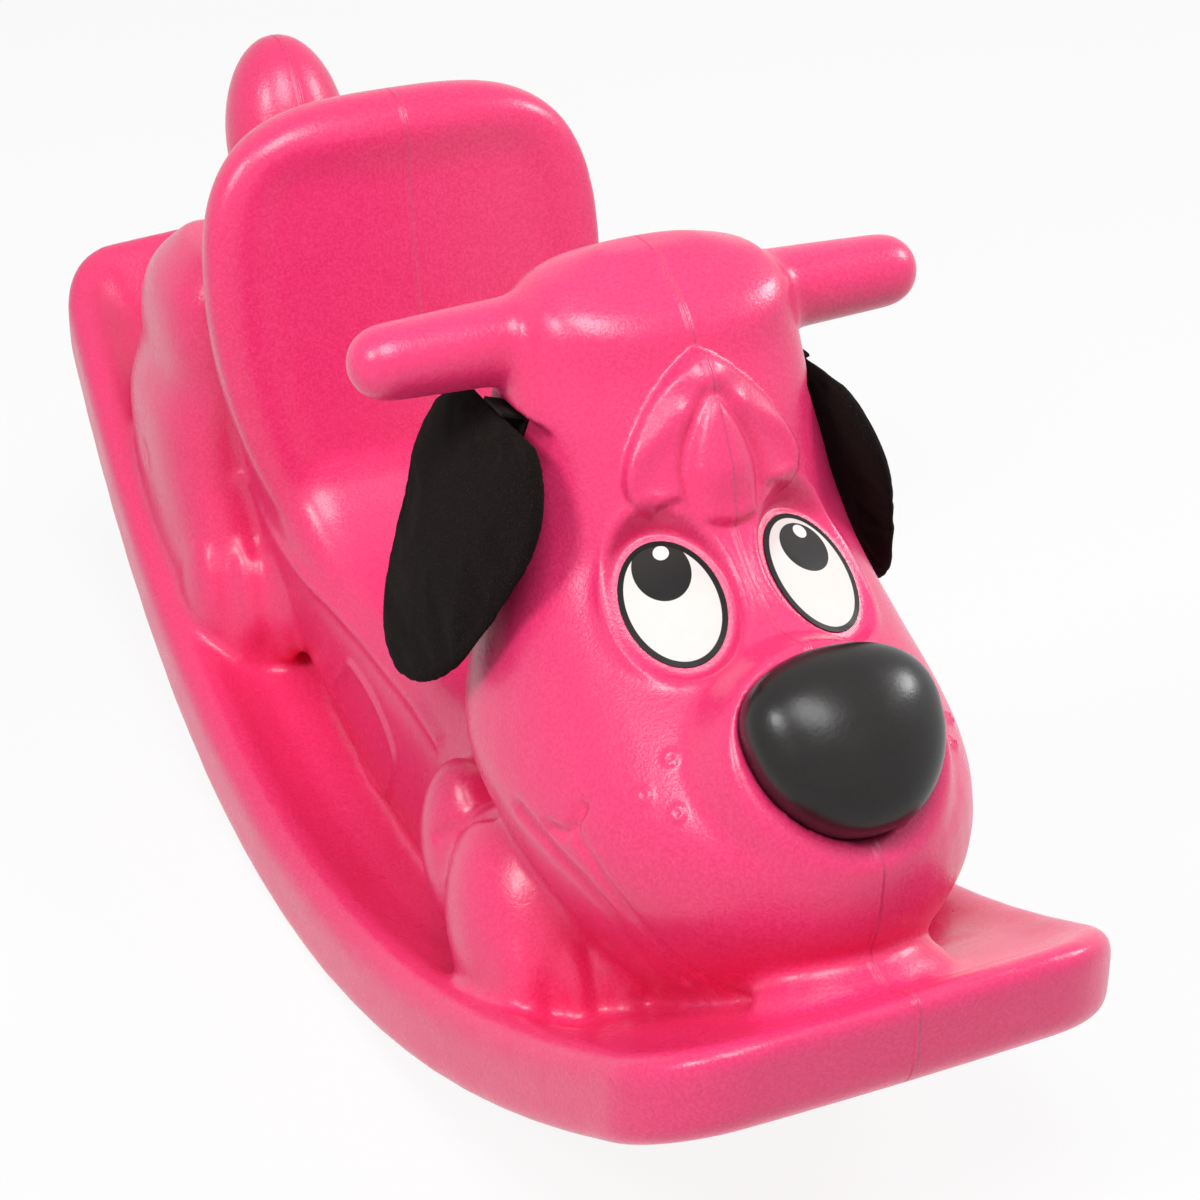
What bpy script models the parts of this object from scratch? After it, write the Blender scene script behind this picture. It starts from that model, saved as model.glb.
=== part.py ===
"""Rocking dog: a one-piece blow-moulded ride-on with a snap-in nose, eye labels and padded ears.

Metres, +Z up. The dog looks along -Y and X is its width. The origin is on the floor, midway
between the two ends. The moulding is built as a blow mould is carved: blanks for the tray,
trunk, backrest, legs and head are merged, their joins are rounded, and relief is pressed in.
"""

import math

import bmesh
import bpy
import numpy as np
from mathutils import Matrix, Vector

CLEARANCE = 0.0003       # between pieces that touch

# Rocker tray
LENGTH = 0.846
WIDTH = 0.290
REST_Y = -0.034          # where the rocker touches the floor
REST_FLAT = 0.0018       # depth pressed off the rocker's lowest line, where it rests
ROCKER_CURVE = 0.915     # rise of the rocker per square metre of distance from REST_Y
ROCKER_EASE = 0.400      # how much the curve flattens towards the ends
END_TAPER = 0.027        # each side moves in by this much at the ends
END_BOW = 0.45           # the ends are bowed by this much per square metre
CORNER_RADIUS = 0.052
TRAY_DEPTH = 0.049       # rim crest above the rocker's underside
RIM_WIDTH = 0.024
DISH_DEPTH = 0.015
EDGE_RADIUS = 0.010      # along the underside
RIM_RADIUS = 0.013       # along the rim
RUNNER_WIDTH = 0.050
CHANNEL_DEPTH = 0.006

# Trunk and seat
TRUNK_HALF_WIDTH = 0.080
SEAT_HEIGHT = 0.150
SEAT_RIM = 0.010         # the rims stand this far above the seat
BACK_HALF_WIDTH = 0.1145
BACK_TOP = 0.387
BACK_ARCH = 0.120        # height of the arched part of its outline
BACK_Y = 0.133           # front face of the backrest at its middle, near the top
BACK_SCOOP = 0.018       # its edges stand this far behind its front face
BACK_THICKNESS = 0.040
BACK_ROLL = 0.022
BACK_RECLINE = math.radians(10)

# Handles
HANDLE_Y = -0.1505
HANDLE_Z = 0.377
HANDLE_SPAN = 0.288
HANDLE_TIP_RADIUS = 0.0178
HANDLE_ROOT_RADIUS = 0.0205

# Face: places and directions are for the dog's left side, and the right side mirrors them
EYE_PLACE = Vector((0.0359, -0.2585, 0.2886))
EYE_FACING = Vector((0.300, -0.830, 0.590)).normalized()
EYE_TURN = math.radians(-3)        # the eye's top leans away from the middle
EYE_HALF_WIDTH = 0.0247
EYE_HALF_HEIGHT = 0.0290
EYE_OUTLINE = 0.0024               # printed black line round the eye
PUPIL_RADIUS = 0.0128
PUPIL_PLACE = (0.0013, 0.0135)     # outwards and up from the eye's centre
PUPIL_GLANCE = 0.0037              # both pupils look this far to the dog's right
LABEL_THICKNESS = 0.0008
NOSE_SEAT = Vector((0, -0.3480, 0.2565))
NOSE_FACING = Vector((0, -0.700, 0.714)).normalized()
NOSE_HALF_WIDTH = 0.044
NOSE_HALF_LENGTH = 0.0415
NOSE_HEIGHT = 0.036
NOSE_MIDDLE = 0.30                 # it is widest at this share of its height
NOSE_TAPER = 0.20                  # how much wider its top is than its middle
NOSE_SINK = 0.004                  # the nose sits this deep in its pocket
NOSE_WALL = 0.003
NOSE_POST_RADIUS = 0.004
NOSE_POST_LENGTH = 0.016
NOSE_POST_SPREAD = 0.020
SEAT_EASE = 0.32                   # share of a seat's size over which it blends out
CREASE_DEPTH = 0.0036
CREASE_WIDTH = 0.0050

# Ears hang from a hinge line along Y; their plane leans out from the head
EAR_AXIS_X = 0.078
EAR_AXIS_Z = 0.345
EAR_LEAN = math.atan(0.34)
EAR_HALF_THICKNESS = 0.0075
EAR_TOP_RADIUS = 0.004
RECESS_OFFSET = 0.0125             # recess floor inboard of the ear's middle plane
RECESS_REACH = 0.009               # the recess is cut out to here, outboard of that plane
RECESS_MARGIN = 0.004              # recess outline outside the ear's outline
TAB_THICKNESS = 0.0016
TAB_FRONT = -0.170
TAB_BACK = -0.150
TAB_DROP = 0.030
TAB_LIP = 0.002                    # the lip ends this far outboard of the hinge line
SCREW_DROPS = (0.008, 0.022)       # below the hinge line
SCREW_RADIUS = 0.0015
SCREW_LENGTH = 0.012
SCREW_HEAD_RADIUS = 0.0032
SCREW_HEAD_HEIGHT = 0.0018
WASHER_RADIUS = 0.0042
WASHER_THICKNESS = 0.0006

# Moulding
VOXEL = 0.0045
ROUNDING_STEPS = 9
RELIEF_ROUNDING_STEPS = 5
BODY_TRIANGLES = 9000


def clear_scene():
    for old in list(bpy.data.objects):
        bpy.data.objects.remove(old, do_unlink=True)


def collection(name, hidden=False):
    made = bpy.data.collections.new(name)
    bpy.context.scene.collection.children.link(made)
    made.hide_render = hidden
    return made


def new_object(name, mesh, where):
    made = bpy.data.objects.new(name, mesh)
    where.objects.link(made)
    return made


def mesh_of(bm, name):
    mesh = bpy.data.meshes.new(name)
    bmesh.ops.recalc_face_normals(bm, faces=bm.faces)
    bm.to_mesh(mesh)
    bm.free()
    return mesh


def rocker(y):
    """Height of the rocker's underside over its lowest line."""
    d = y - REST_Y
    return ROCKER_CURVE * d * d - ROCKER_EASE * d**4


def lerp_table(table, t):
    """Smooth values between the rows of a short table (first column is the place)."""
    places = [row[0] for row in table]
    return [
        float(smooth_interp(t, places, [row[k] for row in table]))
        for k in range(1, len(table[0]))
    ]


def smooth_interp(t, xs, ys):
    """Monotone-friendly cubic (Catmull-Rom) through a few stations."""
    t = min(max(t, xs[0]), xs[-1])
    i = max(k for k in range(len(xs) - 1) if xs[k] <= t)
    slopes = []
    for k in (i, i + 1):
        a, b = max(k - 1, 0), min(k + 1, len(xs) - 1)
        slopes.append((ys[b] - ys[a]) / (xs[b] - xs[a]))
    span = xs[i + 1] - xs[i]
    u = (t - xs[i]) / span
    return (
        (2 * u**3 - 3 * u**2 + 1) * ys[i]
        + (u**3 - 2 * u**2 + u) * span * slopes[0]
        + (-2 * u**3 + 3 * u**2) * ys[i + 1]
        + (u**3 - u**2) * span * slopes[1]
    )


def add_loft(bm, rings):
    """Joins closed rings of equal count with faces and caps both ends."""
    rows = [[bm.verts.new(p) for p in ring] for ring in rings]
    count = len(rows[0])
    for low, high in zip(rows, rows[1:]):
        for i in range(count):
            j = (i + 1) % count
            bm.faces.new((low[i], low[j], high[j], high[i]))
    bm.faces.new(list(reversed(rows[0])))
    bm.faces.new(rows[-1])


def add_ellipsoid(bm, centre, radii, turn=(0, 0, 0), both_sides=False):
    """An ellipsoid turned by angles in degrees about X, Y and Z, with its mirror image if asked."""
    for side in (1, -1) if both_sides else (1,):
        made = bmesh.ops.create_uvsphere(bm, u_segments=24, v_segments=16, radius=1)
        rot = Matrix.Rotation(math.radians(turn[2]) * side, 4, "Z")
        rot @= Matrix.Rotation(math.radians(turn[1]) * side, 4, "Y")
        rot @= Matrix.Rotation(math.radians(turn[0]), 4, "X")
        place = Matrix.Translation((centre[0] * side, centre[1], centre[2])) @ rot
        bmesh.ops.transform(
            bm, matrix=place @ Matrix.Diagonal((*radii, 1)), verts=made["verts"]
        )


def superellipse(count, half_x, half_y_front, half_y_back, power_front, power_back, y0):
    """A closed plan section: X half-width, front and back reach from y0, and how boxy each half is."""
    points = []
    for i in range(count):
        a = 2 * math.pi * i / count
        c, s = math.cos(a), math.sin(a)
        power = power_front if s < 0 else power_back
        reach = half_y_front if s < 0 else half_y_back
        x = half_x * math.copysign(abs(c) ** (2 / power), c)
        y = y0 + reach * math.copysign(abs(s) ** (2 / power), s)
        points.append((x, y))
    return points


def tray_outline(inset):
    """Plan outline of the tray, moved in by inset, front end first, as (x, y) right half points."""
    half = LENGTH / 2 - inset
    corner = max(CORNER_RADIUS - inset, 0.01)

    def side(y):
        return WIDTH / 2 - inset - END_TAPER * (y / (LENGTH / 2)) ** 2

    points = []
    x_end = side(half - corner) - corner
    for i in range(8):
        x = x_end * i / 8
        points.append((x, -half + END_BOW * x * x))
    y_end = -half + END_BOW * x_end**2
    for i in range(9):
        a = math.pi / 2 * i / 8
        points.append((x_end + corner * math.sin(a), y_end + corner * (1 - math.cos(a))))
    side_start = y_end + corner
    for i in range(1, 24):
        y = side_start * (1 - i / 12)
        scale = side(y) / side(side_start)
        points.append(((x_end + corner) * scale, y))
    front_corner = [p for p in points[:17]]
    points += [(x, -y) for x, y in reversed(front_corner)]
    return points


def add_tray(bm):
    """The rocker tray: a rim profile swept round the plan outline and laid on the rocker's curve."""
    top = TRAY_DEPTH
    profile = [(RUNNER_WIDTH + 0.012, CHANNEL_DEPTH), (RUNNER_WIDTH, 0.0)]
    for i in range(5):
        a = math.pi / 2 * i / 4
        profile.append((EDGE_RADIUS * (1 - math.sin(a)), EDGE_RADIUS * (1 - math.cos(a))))
    for i in range(5):
        a = math.pi / 2 * i / 4
        profile.append((RIM_RADIUS * (1 - math.cos(a)), top - RIM_RADIUS * (1 - math.sin(a))))
    profile.append((RIM_WIDTH * 0.8, top - 0.0015))
    profile.append((RIM_WIDTH * 1.3, top - DISH_DEPTH * 0.6))
    profile.append((RIM_WIDTH * 1.9, top - DISH_DEPTH))
    loops = []
    for inset, height in profile:
        right = tray_outline(inset)
        ring = right + [(-x, y) for x, y in reversed(right[1:-1])]
        loops.append([bm.verts.new((x, y, rocker(y) + height)) for x, y in ring])
    count = len(loops[0])
    for low, high in zip(loops, loops[1:]):
        for i in range(count):
            j = (i + 1) % count
            bm.faces.new((low[i], low[j], high[j], high[i]))
    half = count // 2
    for loop in (loops[0], loops[-1]):
        for i in range(half):
            a, b = loop[i], loop[i + 1]
            c, d = loop[(count - i - 1) % count], loop[(count - i) % count]
            corners = []
            for v in (a, b, c, d):
                if v not in corners:
                    corners.append(v)
            if len(corners) > 2:
                bm.faces.new(corners)


def add_trunk(bm):
    """The trunk from chest to rump, lofted along Y; its upper side is the seat."""
    # y, half width at the seat, height of the seat, half width at the tray
    stations = [
        (-0.215, 0.074, 0.185, 0.072),
        (-0.150, 0.077, 0.172, 0.076),
        (-0.090, 0.080, SEAT_HEIGHT + 0.006, 0.079),
        (-0.020, TRUNK_HALF_WIDTH, SEAT_HEIGHT, 0.077),
        (0.050, 0.084, SEAT_HEIGHT + 0.008, 0.073),
        (0.095, 0.092, SEAT_HEIGHT + 0.034, 0.072),
        (0.125, 0.098, SEAT_HEIGHT + 0.080, 0.072),
        (0.200, 0.094, 0.280, 0.076),
        (0.290, 0.080, 0.235, 0.076),
        (0.350, 0.062, 0.185, 0.066),
    ]
    rings = []
    y = stations[0][0]
    while y <= stations[-1][0] + 1e-6:
        half, top, foot = lerp_table(stations, y)
        floor = rocker(y) + 0.02
        ring = []
        for i in range(40):
            a = 2 * math.pi * i / 40
            c, s = math.cos(a), math.sin(a)
            up = 0.5 * (1 + math.copysign(abs(s) ** 0.55, s))
            width = foot + (half - foot) * up
            x = width * math.copysign(abs(c) ** 0.5, c)
            z = floor + (top + SEAT_RIM - floor) * up
            dish = SEAT_RIM * max(0.0, 1 - (x / (0.82 * half)) ** 2)
            z -= dish * max(0.0, (up - 0.85) / 0.15)
            ring.append((x, y, z))
        rings.append(ring)
        y += 0.0125
    add_loft(bm, rings)


def add_backrest(bm):
    """The backrest: plan sections stacked to its arched top, scooped in front and reclined."""
    bottom = SEAT_HEIGHT + 0.02
    rings = []
    steps = 32
    for k in range(steps + 1):
        z = bottom + (BACK_TOP - bottom) * math.sin(math.pi / 2 * k / steps)
        from_top = BACK_TOP - z
        rise = max(0.0, 1 - from_top / BACK_ARCH)
        half = max(0.004, BACK_HALF_WIDTH * (1 - rise**2.5) ** 0.4)
        low = max(0.0, 1 - (z - bottom) / 0.12)
        half -= 0.026 * low * low
        lean = (z - BACK_TOP) * math.tan(BACK_RECLINE)
        edge = BACK_Y + BACK_SCOOP + lean
        roll = min(1.0, from_top / BACK_ROLL)
        swell = math.sqrt(1 - (1 - roll) ** 2)
        front = edge - BACK_SCOOP * swell
        back = edge + (BACK_THICKNESS - BACK_SCOOP) * swell + 0.25 * from_top
        ring = []
        for i in range(40):
            a = 2 * math.pi * i / 40
            c, s = math.cos(a), math.sin(a)
            x = half * math.copysign(abs(c) ** 0.6, c)
            if s < 0:
                y = edge + (front - edge) * abs(s) ** 0.7
            else:
                y = edge + (back - edge) * s**0.8
                x *= 1 - 0.1 * s * s
            ring.append((x, y, z))
        rings.append(ring)
    add_loft(bm, rings)


HEAD_SECTIONS = [
    # height, front, widest place, back (all along Y), half width, boxiness of the front
    (0.075, -0.320, -0.240, -0.160, 0.052, 2.1),
    (0.110, -0.365, -0.238, -0.150, 0.076, 2.1),
    (0.150, -0.385, -0.234, -0.140, 0.098, 2.1),
    (0.190, -0.389, -0.228, -0.125, 0.107, 2.05),
    (0.225, -0.381, -0.216, -0.115, 0.101, 1.95),
    (0.255, -0.350, -0.204, -0.108, 0.090, 1.85),
    (0.278, -0.309, -0.191, -0.105, 0.084, 1.75),
    (0.298, -0.275, -0.180, -0.104, 0.081, 1.85),
    (0.322, -0.254, -0.171, -0.104, 0.078, 1.9),
    (0.348, -0.243, -0.167, -0.105, 0.073, 2.3),
    (0.375, -0.227, -0.163, -0.107, 0.069, 2.8),
    (0.394, -0.208, -0.162, -0.115, 0.066, 3.0),
    (0.406, -0.189, -0.161, -0.129, 0.057, 2.6),
    (0.415, -0.170, -0.158, -0.146, 0.026, 2.2),
]


def add_head(bm):
    """The head: plan sections stacked from the chin to the crown."""
    rings = []
    z = HEAD_SECTIONS[0][0]
    top = HEAD_SECTIONS[-1][0]
    while z < top + 1e-6:
        front, widest, back, half, power = lerp_table(HEAD_SECTIONS, z)
        section = superellipse(48, half, widest - front, back - widest, power, 2.6, widest)
        rings.append([(x, y, z) for x, y in section])
        z += 0.0085
    add_loft(bm, rings)


def add_handles(bm):
    """Two tapered handles with round ends, turned about X."""
    reach = HANDLE_SPAN / 2 - HANDLE_TIP_RADIUS
    profile = [(0.0, HANDLE_ROOT_RADIUS), (0.055, HANDLE_ROOT_RADIUS), (0.075, HANDLE_ROOT_RADIUS - 0.001)]
    profile.append((reach, HANDLE_TIP_RADIUS))
    for i in range(1, 7):
        a = math.pi / 2 * i / 7
        profile.append((reach + HANDLE_TIP_RADIUS * math.sin(a), HANDLE_TIP_RADIUS * math.cos(a)))
    for side in (1, -1):
        rings = []
        for x, r in profile:
            ring = []
            for i in range(28):
                a = 2 * math.pi * i / 28 * side
                ring.append((x * side, HANDLE_Y + r * math.cos(a), HANDLE_Z + r * math.sin(a)))
            rings.append(ring)
        add_loft(bm, rings)


HIND_LEG_SECTIONS = [
    # height, front, back (along Y), outer side, inner side
    (0.040, 0.150, 0.275, 0.121, 0.070),
    (0.085, 0.146, 0.285, 0.123, 0.070),
    (0.130, 0.158, 0.300, 0.124, 0.068),
    (0.165, 0.166, 0.305, 0.125, 0.066),
    (0.190, 0.170, 0.303, 0.124, 0.065),
    (0.218, 0.170, 0.296, 0.118, 0.063),
    (0.245, 0.168, 0.286, 0.119, 0.060),
    (0.272, 0.170, 0.268, 0.113, 0.058),
    (0.293, 0.182, 0.245, 0.098, 0.062),
]


def add_hind_legs(bm):
    """Each hind leg: plan sections stacked from the foot to the haunch, beside the backrest."""
    for side in (1, -1):
        rings = []
        z = HIND_LEG_SECTIONS[0][0]
        while z < HIND_LEG_SECTIONS[-1][0] + 1e-6:
            front, back, outer, inner = lerp_table(HIND_LEG_SECTIONS, z)
            mid_x, half = (outer + inner) / 2, (outer - inner) / 2
            mid_y = front + 0.4 * (back - front)
            section = superellipse(28, half, mid_y - front, back - mid_y, 2.6, 2.2, mid_y)
            rings.append([((mid_x + x) * side, y, max(z, rocker(y) + 0.022)) for x, y in section])
            z += 0.013
        add_loft(bm, rings)
    for k in range(3):
        x = 0.082 + 0.0165 * k
        add_ellipsoid(bm, (x, 0.166 + 0.004 * k, 0.100), (0.0115, 0.026, 0.040), (-6, 0, 0), True)


def add_front_paws(bm):
    """Each front leg lies beside the chin: elbow lobe, paw and three toes."""
    add_ellipsoid(bm, (0.090, -0.148, 0.110), (0.022, 0.034, 0.050), (-10, 0, 0), True)
    add_ellipsoid(bm, (0.088, -0.196, 0.092), (0.034, 0.060, 0.058), (-24, 0, 0), True)
    for k in range(3):
        x = 0.066 + 0.0185 * k
        add_ellipsoid(bm, (x, -0.232 + 0.010 * k, 0.082), (0.0125, 0.030, 0.034), (-24, 0, 0), True)


def add_tail(bm):
    """The rump and the upright tail behind the backrest."""
    add_ellipsoid(bm, (0, 0.235, 0.200), (0.090, 0.125, 0.120))
    add_ellipsoid(bm, (0, 0.318, 0.300), (0.043, 0.036, 0.064), (-18, 0, 0))
    add_ellipsoid(bm, (0, 0.290, 0.250), (0.034, 0.036, 0.060), (10, 0, 0))


def add_tuft(bm):
    """Three locks of hair that hang from the top of the forehead."""
    add_ellipsoid(bm, (0, -0.2455, 0.338), (0.0150, 0.0120, 0.034), (-20, 0, 0))
    add_ellipsoid(bm, (0.028, -0.2290, 0.353), (0.0135, 0.0120, 0.034), (-22, -30, 0), True)


def moulding_blank():
    bm = bmesh.new()
    add_tray(bm)
    add_trunk(bm)
    add_backrest(bm)
    add_head(bm)
    add_tuft(bm)
    add_handles(bm)
    add_hind_legs(bm)
    add_front_paws(bm)
    add_tail(bm)
    return mesh_of(bm, "moulding")


def applied(obj):
    """Bakes an object's modifiers into its mesh."""
    graph = bpy.context.evaluated_depsgraph_get()
    graph.update()
    mesh = bpy.data.meshes.new_from_object(obj.evaluated_get(graph))
    obj.modifiers.clear()
    obj.data = mesh
    return obj


def smooth_step(x):
    x = np.clip(x, 0, 1)
    return x * x * (3 - 2 * x)


def mirrored(v, side):
    return Vector((v[0] * side, v[1], v[2]))


def eye_axes(side):
    """Directions across the eye (outwards), up the eye and out of its face."""
    facing = mirrored(EYE_FACING, side)
    up = (Vector((0, 0, 1)) - facing * facing.z).normalized()
    out = up.cross(facing) * side
    return out, up, facing


def ear_point(side, y, down, out):
    """A point given in the ear's own frame: along Y, down its plane and outwards from it."""
    x = EAR_AXIS_X + down * math.sin(EAR_LEAN) + out * math.cos(EAR_LEAN)
    z = EAR_AXIS_Z - down * math.cos(EAR_LEAN) + out * math.sin(EAR_LEAN)
    return Vector((x * side, y, z))


def flatten(points, centre, across, along, facing, half_across, half_along, ease):
    """Presses an oval of the surface onto the plane through its centre, easing out round it."""
    centre, across, along, facing = (np.array(v) for v in (centre, across, along, facing))
    local = points - centre
    height = local @ facing
    radius = np.hypot(local @ across / half_across, local @ along / half_along)
    near = np.abs(height) < 0.03
    weight = smooth_step((1.1 + ease - radius) / ease) * near
    points -= (height * weight)[:, None] * facing


def crease(points, line, depth, width):
    """Presses a soft groove along a line of points, towards the middle of the head."""
    nearest = np.full(len(points), 1.0)
    for a, b in zip(line, line[1:]):
        a, b = np.array(a), np.array(b)
        share = np.clip((points - a) @ (b - a) / ((b - a) @ (b - a)), 0, 1)
        nearest = np.minimum(nearest, np.linalg.norm(points - a - share[:, None] * (b - a), axis=1))
    inward = np.array((0, -0.25, 0.20)) - points
    inward /= np.linalg.norm(inward, axis=1)[:, None]
    points += inward * (depth * np.exp(-((nearest / width) ** 2)))[:, None]


MOUTH_LINE = [
    (0.0985, -0.289, 0.211),
    (0.0945, -0.301, 0.205),
    (0.0840, -0.326, 0.188),
    (0.0740, -0.341, 0.171),
    (0.0600, -0.357, 0.157),
]


def press_relief(mesh):
    """Presses in the label seats, nose seat, lip lines and the flat, whose height it returns."""
    count = len(mesh.vertices)
    points = np.empty(count * 3, np.float32)
    mesh.vertices.foreach_get("co", points)
    points = points.reshape(-1, 3).astype(float)
    for side in (1, -1):
        out, up, facing = eye_axes(side)
        c, s = math.cos(EYE_TURN), math.sin(EYE_TURN)
        centre = mirrored(EYE_PLACE, side)
        across = out * c + up * s
        along = up * c - out * s
        flatten(
            points, centre, across, along, facing, EYE_HALF_WIDTH, EYE_HALF_HEIGHT, SEAT_EASE
        )
        crease(points, [mirrored(p, side) for p in MOUTH_LINE], CREASE_DEPTH, CREASE_WIDTH)
    up_slope = NOSE_FACING.cross(Vector((1, 0, 0)))
    flatten(
        points, NOSE_SEAT, Vector((1, 0, 0)), up_slope, NOSE_FACING,
        NOSE_HALF_WIDTH, NOSE_HALF_LENGTH, SEAT_EASE,
    )
    floor = float(points[:, 2].min()) + REST_FLAT
    points[:, 2] = np.maximum(points[:, 2], floor)
    mesh.vertices.foreach_set("co", points.astype(np.float32).ravel())
    mesh.update()
    return floor


def closed_outline(stations, count):
    """A smooth closed curve through the stations, as count points."""
    points = []
    n = len(stations)
    for i in range(count):
        t = i * n / count
        k = int(t)
        u = t - k
        p = [Vector((*stations[(k + j) % n], 0)) for j in (-1, 0, 1, 2)]
        bend = 2 * p[1] + (p[2] - p[0]) * u
        bend += (2 * p[0] - 5 * p[1] + 4 * p[2] - p[3]) * u**2
        bend += (3 * p[1] - p[0] - 3 * p[2] + p[3]) * u**3
        points.append((bend.x / 2, bend.y / 2))
    return points


EAR_OUTLINE = [
    # along Y, down from the hinge line
    (-0.146, -0.0060),
    (-0.122, -0.0015),
    (-0.106, 0.0140),
    (-0.099, 0.0380),
    (-0.102, 0.0570),
    (-0.109, 0.0960),
    (-0.116, 0.1160),
    (-0.129, 0.1300),
    (-0.147, 0.1360),
    (-0.166, 0.1320),
    (-0.185, 0.1200),
    (-0.201, 0.1010),
    (-0.217, 0.0690),
    (-0.227, 0.0400),
    (-0.225, 0.0200),
    (-0.214, 0.0040),
    (-0.196, -0.0060),
    (-0.171, -0.0060),
]


def ear_outline():
    """The ear's seam line and its middle, with a straight top edge at the hinge."""
    outline = [(y, max(down, -EAR_TOP_RADIUS)) for y, down in closed_outline(EAR_OUTLINE, 44)]
    middle_y = sum(p[0] for p in outline) / len(outline)
    middle_d = sum(p[1] for p in outline) / len(outline)
    return outline, middle_y, middle_d


EAR_PUFF = [
    # share of the outline's size, share of the half thickness
    (0.10, 1.00),
    (0.42, 0.985),
    (0.65, 0.92),
    (0.82, 0.78),
    (0.93, 0.56),
    (0.985, 0.34),
    (1.00, 0.20),
]


def ear_mesh(side):
    """A padded leaf: its outline in rings that thin out towards the seam."""
    outline, middle_y, middle_d = ear_outline()
    layers = [(size, -puff) for size, puff in EAR_PUFF] + [(s, p) for s, p in reversed(EAR_PUFF)]
    rings = []
    for size, puff in layers:
        ring = []
        for y, down in outline:
            ring.append(
                ear_point(
                    side,
                    middle_y + (y - middle_y) * size,
                    middle_d + (down - middle_d) * size,
                    puff * EAR_HALF_THICKNESS,
                )
            )
        rings.append(ring)
    bm = bmesh.new()
    add_loft(bm, rings)
    return mesh_of(bm, "ear")


def prism(name, corners, where):
    """A solid between two outlines given as matching lists of points."""
    bm = bmesh.new()
    add_loft(bm, corners)
    return new_object(name, mesh_of(bm, name), where)


def cylinder(name, radius, start, end, where, segments=24):
    """A round bar between two points."""
    bm = bmesh.new()
    length = (end - start).length
    bmesh.ops.create_cone(
        bm, cap_ends=True, segments=segments, radius1=radius, radius2=radius, depth=length
    )
    turn = (end - start).to_track_quat("Z", "Y").to_matrix().to_4x4()
    bmesh.ops.transform(bm, matrix=Matrix.Translation((start + end) / 2) @ turn, verts=bm.verts)
    return new_object(name, mesh_of(bm, name), where)


def combine(obj, others, operation):
    """Cuts the others from the object, or joins them to it."""
    for other in others:
        step = obj.modifiers.new(other.name, "BOOLEAN")
        step.operation = operation
        step.solver = "EXACT"
        step.object = other
    return applied(obj)


def nose_points(grow, height, count=32):
    """The nose's outline at a height over its seat: a rounded triangle, wider at the top."""
    centre = NOSE_MIDDLE * NOSE_HEIGHT
    reach = (NOSE_HEIGHT + grow - centre) if height > centre else 1.5 * NOSE_HEIGHT
    share = math.sqrt(max(0.0, 1 - ((height - centre) / reach) ** 2))
    half_x = (NOSE_HALF_WIDTH + grow) * share
    half_u = (NOSE_HALF_LENGTH + grow) * share
    up_slope = NOSE_FACING.cross(Vector((1, 0, 0)))
    ring = []
    for i in range(count):
        a = 2 * math.pi * i / count
        up = math.sin(a)
        x = math.copysign(abs(math.cos(a)) ** 0.9, math.cos(a)) * half_x * (1 + NOSE_TAPER * up)
        along = math.copysign(abs(up) ** 0.9, up) * half_u
        ring.append(NOSE_SEAT + NOSE_FACING * height + up_slope * along + Vector((x, 0, 0)))
    return ring


def nose_dome(name, grow, bottom, where):
    """A dome from the given height over the seat to its top."""
    rings = []
    top = NOSE_HEIGHT + grow
    steps = 8
    for k in range(steps):
        share = math.sin(math.pi / 2 * k / steps)
        rings.append(nose_points(grow, bottom + (top - bottom) * share))
    rings.append(nose_points(grow, top - 0.0003 * top))
    return prism(name, rings, where)


def build_nose(parts, cutters, body):
    """The nose: a hollow cap with two posts, seated in a pocket of the muzzle."""
    pocket = nose_dome("nose_pocket", CLEARANCE, -NOSE_SINK - CLEARANCE, cutters)
    cap = nose_dome("nose_cap", 0, -NOSE_SINK, parts)
    hollow = nose_dome("nose_hollow", -NOSE_WALL, -NOSE_SINK - 0.002, cutters)
    holes = []
    posts = []
    centre = NOSE_MIDDLE * NOSE_HEIGHT
    reach = NOSE_HEIGHT - NOSE_WALL / 2 - centre
    inside_wall = centre + reach * math.sqrt(1 - (NOSE_POST_SPREAD / NOSE_HALF_WIDTH) ** 2)
    for side in (1, -1):
        foot = NOSE_SEAT + Vector((NOSE_POST_SPREAD * side, 0, 0))
        deep = NOSE_FACING * -NOSE_POST_LENGTH
        tip = NOSE_FACING * inside_wall
        post = cylinder("nose_post", NOSE_POST_RADIUS, foot + tip, foot + deep, cutters, 20)
        hole = cylinder(
            "nose_hole",
            NOSE_POST_RADIUS + CLEARANCE,
            foot + NOSE_FACING * 0.01,
            foot + deep - NOSE_FACING * CLEARANCE,
            cutters,
            20,
        )
        posts.append(post)
        holes.append(hole)
    combine(cap, [hollow], "DIFFERENCE")
    combine(cap, posts, "UNION")
    combine(body, [pocket] + holes, "DIFFERENCE")
    return cap


def oval(half_across, half_along, count=44):
    ring = []
    for i in range(count):
        a = 2 * math.pi * i / count
        ring.append((half_across * math.cos(a), half_along * math.sin(a)))
    return ring


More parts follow.
